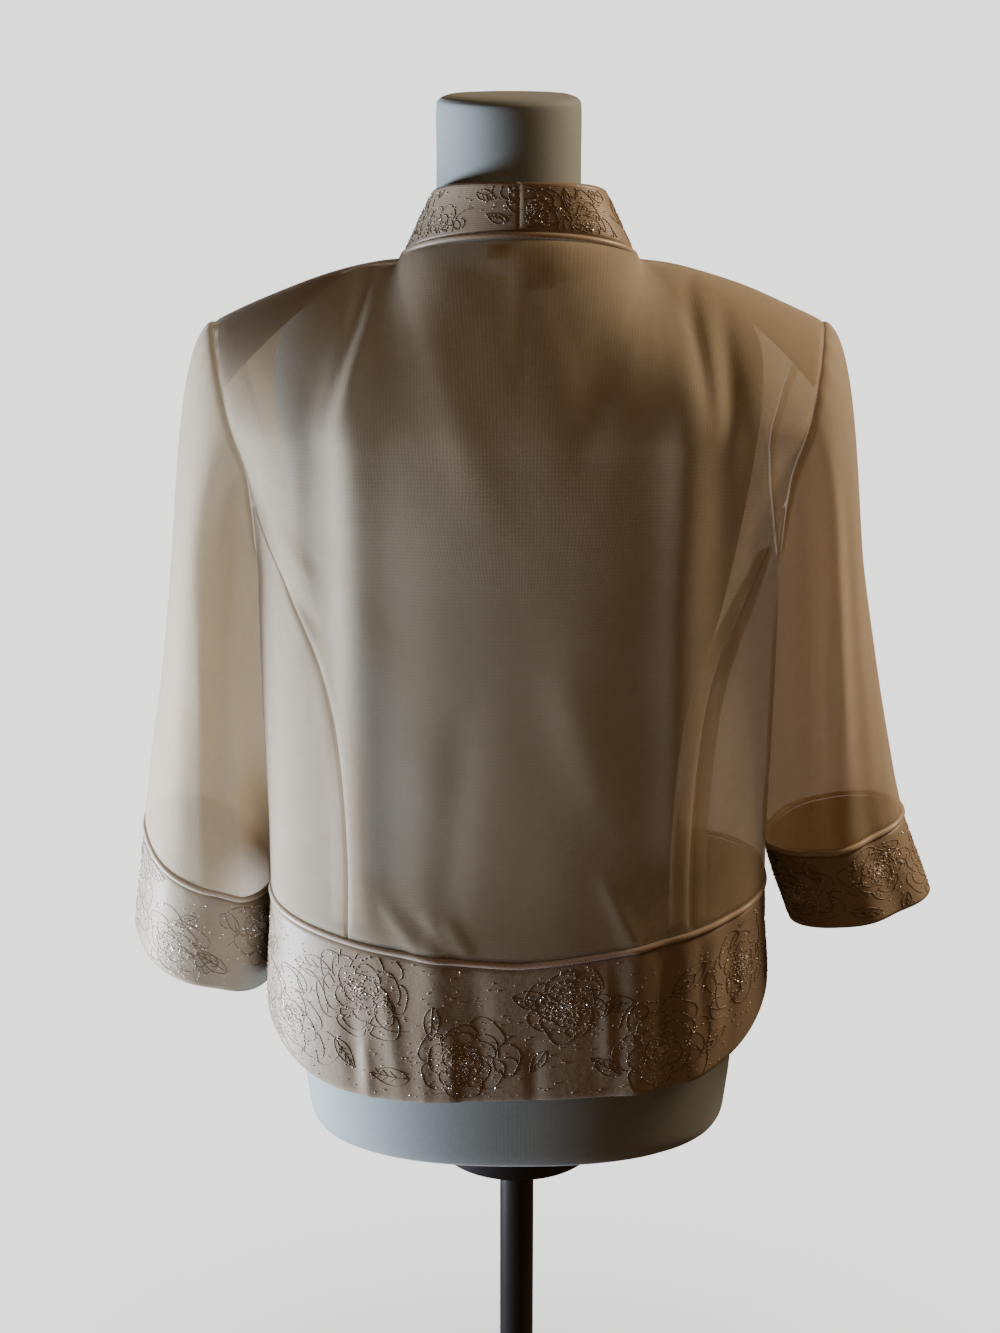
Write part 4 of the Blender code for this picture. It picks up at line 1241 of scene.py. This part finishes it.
def leaf(centre, length, turn):
    """Two curved edges, a midrib and side veins."""
    c, s = math.cos(turn) * length, math.sin(turn) * length

    def drawn(line):
        return [(centre[0] + a * c - b * s, centre[1] + a * s + b * c) for a, b in line]

    lines = []
    for side in (-1, 1):
        edge = []
        for n in range(LEAF_POINTS + 1):
            t = n / LEAF_POINTS
            edge.append((t, side * LEAF_HALF_WIDTH * math.sin(math.pi * t**0.8)))
        lines.append(drawn(edge))
        for along in LEAF_VEINS:
            lines.append(drawn([(along, 0), (along + 0.10, side * 0.07), (along + 0.16, side * 0.13)]))
    lines.append(drawn([(n / 6, 0) for n in range(7)]))
    return lines


def tendril(start, size, turn, hand):
    """A stem that ends in a curl."""
    points = []
    x, y = start
    heading = turn
    for n in range(TENDRIL_POINTS):
        points.append((x, y))
        heading += hand * (TENDRIL_BEND + TENDRIL_CURL * n)
        x += size * TENDRIL_STEP * math.cos(heading)
        y += size * TENDRIL_STEP * math.sin(heading)
    return [points]


def design(width, height, seed, pitch=0.070, size=0.041, grains_each=240):
    """All the embroidered lines on a strip of cloth and the spots of glitter, in metres on the flat."""
    rng = random.Random(seed)
    lines, grains = [], []
    count = max(2, round(width / pitch))
    for n in range(count + 1):
        low = n % 2
        x = n * width / count + rng.uniform(-FLOWER_STRAY, FLOWER_STRAY)
        y = height * (FLOWER_LOW if low else FLOWER_HIGH) + rng.uniform(-FLOWER_STRAY, FLOWER_STRAY)
        reach = size * rng.uniform(0.80, 1.12)
        lines += flower((x, y), reach, rng.uniform(*ANY_TURN), rng)
        for _ in range(grains_each):
            angle, r = rng.uniform(*ANY_TURN), reach * abs(rng.gauss(0, GRAIN_SPREAD))
            grains.append(around((x, y), r, angle, 0.9))
        between = x + width / count / 2
        over = between, height * (LEAF_HIGH if low else LEAF_LOW)
        lines += leaf(over, reach * 0.75, rng.uniform(-0.6, 0.6) + (math.pi if n % 3 else 0))
        lines += tendril((between, height / 2), reach, rng.uniform(*ANY_TURN), 1 if low else -1)
        under = x - reach * 0.5, y + reach * (0.95 if low else -0.95)
        lines += leaf(under, reach * 0.6, rng.uniform(*ANY_TURN))
    for line in lines:
        grains += [point for point in line if rng.random() < LINE_GRAINS]
    for _ in range(int(width * height * LOOSE_GRAINS)):
        grains.append((rng.uniform(0, width), rng.uniform(0, height)))
    return lines, grains


def inside(x, y, size, margin):
    return margin < x < size[0] - margin and margin < y < size[1] - margin


def on_cloth(lines, surface):
    """Routes of threads on the surface, cut where a line leaves it."""
    width, height = surface.size
    routes = []
    for line in lines:
        route = []
        for x, y in [*line, (-1, -1)]:
            if inside(x, y, surface.size, THREAD_EDGE):
                route.append(surface.lifted(x / width, y / height, THREAD_LIFT))
            else:
                if len(route) > 2:
                    routes.append(route)
                route = []
    return routes


def embroider(node, surface, seed, **style):
    """Couched threads and glued glitter over one satin piece."""
    width, height = surface.size
    lines, grains = design(width, height, seed, **style)
    mesh = tube_mesh(f"{node}_threads", on_cloth(lines, surface), THREAD_R, 0)
    link_piece(f"{node}_threads", mesh, "metallic_thread", "embroidered_satin")
    bm = bmesh.new()
    for x, y in grains:
        if inside(x, y, surface.size, GRAIN_EDGE):
            bm.verts.new(surface.lifted(x / width, y / height, GRAIN_LIFT))
    mesh = bare_mesh(bm, f"{node}_glitter")
    piece = link_piece(f"{node}_glitter", mesh, "glitter", "embroidered_satin")
    piece.modifiers.new("Grains", "NODES").node_group = grain_nodes()


def grain_nodes():
    """Puts a small eight-sided grain, turned and sized at random, on each point."""
    made = bpy.data.node_groups.get("glitter_grains")
    if made:
        return made
    made = bpy.data.node_groups.new("glitter_grains", "GeometryNodeTree")
    for way in ("INPUT", "OUTPUT"):
        made.interface.new_socket("Geometry", in_out=way, socket_type="NodeSocketGeometry")
    spots = add_node(made, "NodeGroupInput").outputs[0]
    shape = {"Segments": 4, "Rings": 2, "Radius": 1 * MM}
    grain = add_node(made, "GeometryNodeMeshUVSphere", None, **shape).outputs[0]
    turns, most = {"data_type": "FLOAT_VECTOR"}, (6.28, 6.28, 6.28)
    turn = add_node(made, "FunctionNodeRandomValue", turns, i1=most).outputs[0]
    low, high = GRAIN_SIZE
    size = add_node(made, "FunctionNodeRandomValue", None, i2=low, i3=high).outputs[1]
    values = {"Points": spots, "Instance": grain, "Rotation": turn, "Scale": size}
    placed = add_node(made, "GeometryNodeInstanceOnPoints", None, **values).outputs[0]
    real = add_node(made, "GeometryNodeRealizeInstances", None, Geometry=placed).outputs[0]
    look = LOOKS["glitter"]
    coloured = add_node(made, "GeometryNodeSetMaterial", None, Geometry=real, Material=look).outputs[0]
    add_node(made, "NodeGroupOutput", None, Geometry=coloured)
    return made


# The form and its stand


def form_cover():
    levels = [(n, *row) for n, row in enumerate(FORM)]

    def skin(u, v):
        angle = 2 * math.pi * u
        z, half_width, back, front, square, middle = smooth_row(levels, v * (len(FORM) - 1))
        c, s = math.cos(angle), math.sin(angle)
        depth = back if s < 0 else front
        x = middle + math.copysign(abs(c) ** (2 / square), c) * half_width
        return Vector((x, math.copysign(abs(s) ** (2 / square), s) * depth, z))

    bm = bmesh.new()
    layer = bm.loops.layers.uv.verify()
    bmesh.ops.create_grid(bm, x_segments=FORM_COLUMNS, y_segments=5 * (len(FORM) - 1), size=0.5)
    flat = {vert: (vert.co.x + 0.5, vert.co.y + 0.5) for vert in bm.verts}
    for vert, (u, v) in flat.items():
        vert.co = skin(u, v)
    for face in bm.faces:
        for loop in face.loops:
            loop[layer].uv = (flat[loop.vert][0] * FORM_ROUND, loop.vert.co.z)
    bmesh.ops.remove_doubles(bm, verts=bm.verts, dist=MERGE)
    bmesh.ops.holes_fill(bm, edges=[e for e in bm.edges if e.is_boundary], sides=FORM_COLUMNS)
    bmesh.ops.recalc_face_normals(bm, faces=bm.faces)
    mesh = smooth_mesh(bm, "dress_form_cover", 50)
    mesh.uv_layers[0].name = "Metres"
    link_piece("dress_form_cover", mesh, "jersey_cover", "form_cover", "dress_form")


def turned(name, node, radius, low, high, edge=None):
    """A round stand part with softened rims."""
    bm = bmesh.new()
    bmesh.ops.create_cone(bm, cap_ends=True, segments=96, radius1=radius, radius2=radius, depth=high - low)
    bmesh.ops.translate(bm, verts=bm.verts, vec=(0, 0, (low + high) / 2))
    if edge:
        rims = [e for e in bm.edges if abs(e.verts[0].co.z - e.verts[1].co.z) < 1e-6]
        bmesh.ops.bevel(bm, geom=rims, offset=edge, segments=4, profile=0.5, affect="EDGES", material=-1)
    link_piece(name, smooth_mesh(bm, name, 35), "stand_enamel", "stand_steel", node)


def stand_pieces():
    top = FORM_BASE - STAND_GAP
    flange_low = top - FLANGE_THICK
    turned("stand_base_plate", "stand_base", STAND_RADIUS, 0, STAND_THICK, 2 * MM)
    turned("stand_pole_tube", "stand_pole", POLE_R, STAND_THICK + STAND_GAP, flange_low - STAND_GAP)
    turned("stand_flange_disc", "stand_flange", FLANGE_R, flange_low, top, 1 * MM)


# Studio


def lit_by(name, pieces):
    """A collection of the pieces that a light reaches."""
    made = bpy.data.collections.new(name)
    for piece in pieces:
        made.objects.link(piece)
    return made


def area_light(receivers, name, spot, target, side, power, colour):
    data = bpy.data.lights.new(name, "AREA")
    data.shape = "RECTANGLE"
    data.size = data.size_y = side
    data.energy = power
    data.color = linear(colour)[:3]
    lamp = bpy.data.objects.new(name, data)
    lamp.location = spot
    lamp.rotation_euler = (Vector(target) - Vector(spot)).to_track_quat("-Z", "Y").to_euler()
    bpy.context.scene.collection.objects.link(lamp)
    lamp.light_linking.receiver_collection = receivers


def studio():
    pieces = [piece for piece in bpy.data.objects if piece.type == "MESH"]
    bm = bmesh.new()
    bmesh.ops.create_grid(bm, x_segments=1, y_segments=1, size=40)
    floor = bpy.data.objects.new("floor", bare_mesh(bm, "floor"))
    studio_floor()
    floor.data.materials.append(LOOKS["studio_floor"])
    bpy.context.scene.collection.objects.link(floor)
    floor.visible_diffuse = False
    floor.visible_glossy = False
    floor.visible_transmission = False
    # The floor has a light of its own, so that it stays even and as pale as the photograph's ground.
    sun = bpy.data.objects.new("floor_sun", bpy.data.lights.new("floor_sun", "SUN"))
    sun.data.energy = SUN_STRENGTH
    sun.data.angle = math.radians(SUN_ANGLE_DEG)
    bpy.context.scene.collection.objects.link(sun)
    sun.light_linking.receiver_collection = lit_by("lit_floor", [floor])
    part = lit_by("lit_part", pieces)
    for row in LIGHTS:
        area_light(part, *row)
    # The sleeve and cuff nearest to the cold light get some of it from the back too.
    sleeve = [piece for piece in pieces if piece.name.startswith(SLEEVE_LIT)]
    area_light(lit_by("lit_sleeve", sleeve), *SLEEVE_LIGHT)
    world = bpy.data.worlds.new("studio")
    bpy.context.scene.world = world
    world.use_nodes = True
    tree = world.node_tree
    tree.nodes.clear()
    seen, light = [
        add_node(tree, "ShaderNodeBackground", None, Color=linear(colour), Strength=strength).outputs[0]
        for colour, strength in (BACKGROUND, ROOM)
    ]
    ray = add_node(tree, "ShaderNodeLightPath").outputs["Is Camera Ray"]
    mix = add_node(tree, "ShaderNodeMixShader", None, i0=ray, i1=light, i2=seen).outputs[0]
    add_node(tree, "ShaderNodeOutputWorld", None, Surface=mix)


def photo_camera():
    """Back view from a little above, as in the photograph."""
    data = bpy.data.cameras.new("camera")
    data.sensor_width = 36
    data.lens = FOCAL_PX * data.sensor_width / FRAME_HEIGHT_PX
    camera = bpy.data.objects.new("camera", data)
    camera.location = CAMERA_SPOT
    camera.rotation_euler = (math.radians(90 - CAMERA_DOWN_DEG), 0, 0)
    bpy.context.scene.collection.objects.link(camera)
    bpy.context.scene.camera = camera


def main():
    photo_camera()
    for material in (georgette, satin_ground, piping_satin, metallic_thread, glitter):
        material()
    for material in (wadding, label_tape, jersey_cover, stand_enamel):
        material()
    form_cover()
    stand_pieces()
    pad_pieces()
    label_pieces()
    back_pieces()
    front_pieces()
    sleeve_pieces()
    hem_pieces()
    collar_pieces()
    studio()


main()
